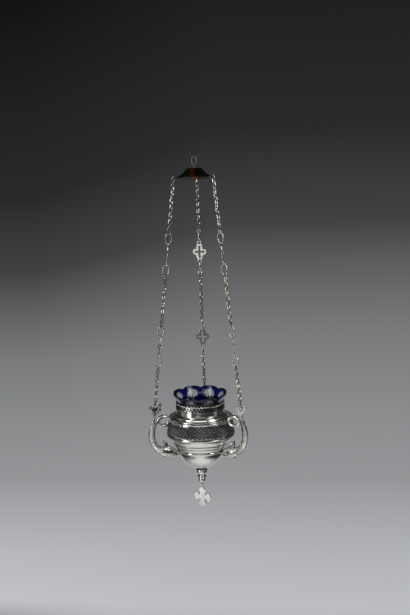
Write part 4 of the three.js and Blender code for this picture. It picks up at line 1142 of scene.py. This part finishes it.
def stage_material():
    """Paper with painted light, dark at its top and pale at its foot. The camera, metal and glass see
    most of its colour glowing as it is, and the rest lit, so that it keeps a soft shadow. The camera looks
    through its back."""
    material, tree, shader = new_material("paper")
    set_inputs(shader, {"Roughness": 0.9, "Specular IOR Level": 0.1})
    glow = tree.nodes.new("ShaderNodeEmission")
    set_inputs(glow, {"Strength": PAPER_GLOW})
    colour = painted_paper_light(tree)
    tree.links.new(colour, shader.inputs["Base Color"])
    tree.links.new(colour, glow.inputs["Color"])
    rays = tree.nodes.new("ShaderNodeLightPath")
    seen = add_math(tree, "MAXIMUM", rays.outputs["Is Camera Ray"], rays.outputs["Is Glossy Ray"])
    seen = add_math(tree, "MAXIMUM", seen, rays.outputs["Is Transmission Ray"])
    share = add_range(tree, seen, 0.0, 1.0, 0.0, PAPER_GLOW_SHARE)
    front = mix_shaders(tree, share, shader.outputs["BSDF"], glow.outputs["Emission"])
    side = tree.nodes.new("ShaderNodeNewGeometry")
    unseen = add_math(tree, "MULTIPLY", side.outputs["Backfacing"], rays.outputs["Is Camera Ray"])
    clear = tree.nodes.new("ShaderNodeBsdfTransparent")
    one_sided = mix_shaders(tree, unseen, front, clear.outputs["BSDF"])
    tree.links.new(one_sided, tree.nodes["Material Output"].inputs["Surface"])
    return material


def make_stage():
    points = [(x, y, z) for x in (STAGE_LEFT, STAGE_RIGHT) for y, z in STAGE_PROFILE]
    count = len(STAGE_PROFILE)
    faces = [(i, count + i, count + i + 1, i + 1) for i in range(count - 1)]
    mesh = bpy.data.meshes.new("sweep")
    mesh.from_pydata(points, [], faces)
    for polygon in mesh.polygons:
        polygon.use_smooth = True
    sweep = new_object("sweep", mesh)
    mesh.materials.append(stage_material())


def add_softbox(name, place, target, size, watts):
    light = bpy.data.lights.new(name, "AREA")
    light.shape = "RECTANGLE"
    light.size, light.size_y = size
    light.energy = watts
    lamp = new_object(name, light)
    lamp.location = place
    lamp.visible_camera = False
    direction = Vector(target) - Vector(place)
    lamp.rotation_euler = direction.to_track_quat("-Z", "Y").to_euler()


def add_camera():
    azimuth = radians(CAMERA_AZIMUTH)
    pitch = radians(CAMERA_PITCH)
    roll = radians(CAMERA_ROLL)
    back = Vector((sin(azimuth), -cos(azimuth), 0))
    right = Vector((cos(azimuth), sin(azimuth), 0))
    place = (back * CAMERA_DISTANCE + right * CAMERA_ASIDE + Vector((0, 0, CAMERA_HEIGHT))) * MM
    forward = -back * cos(pitch) - Vector((0, 0, sin(pitch)))
    up = right.cross(forward)
    right = right * cos(roll) + up * sin(roll)
    up = right.cross(forward)
    data = bpy.data.cameras.new("camera")
    data.sensor_fit = "VERTICAL"
    data.sensor_height = 36.0
    data.lens = FOCAL_PIXELS / IMAGE_HEIGHT * data.sensor_height
    data.clip_start = 0.01
    camera = new_object("camera", data)
    turn = Matrix((right, up, -forward)).transposed().to_4x4()
    camera.matrix_world = Matrix.Translation(place) @ turn
    bpy.context.scene.camera = camera


def add_world():
    world = bpy.data.worlds.new("studio")
    world.use_nodes = True
    world.node_tree.nodes["Background"].inputs["Color"].default_value = (0.035, 0.036, 0.035, 1)
    bpy.context.scene.world = world


make_stage()
add_world()
for softbox in SOFTBOXES:
    add_softbox(*softbox)
add_camera()
bpy.context.scene.view_settings.view_transform = "Standard"
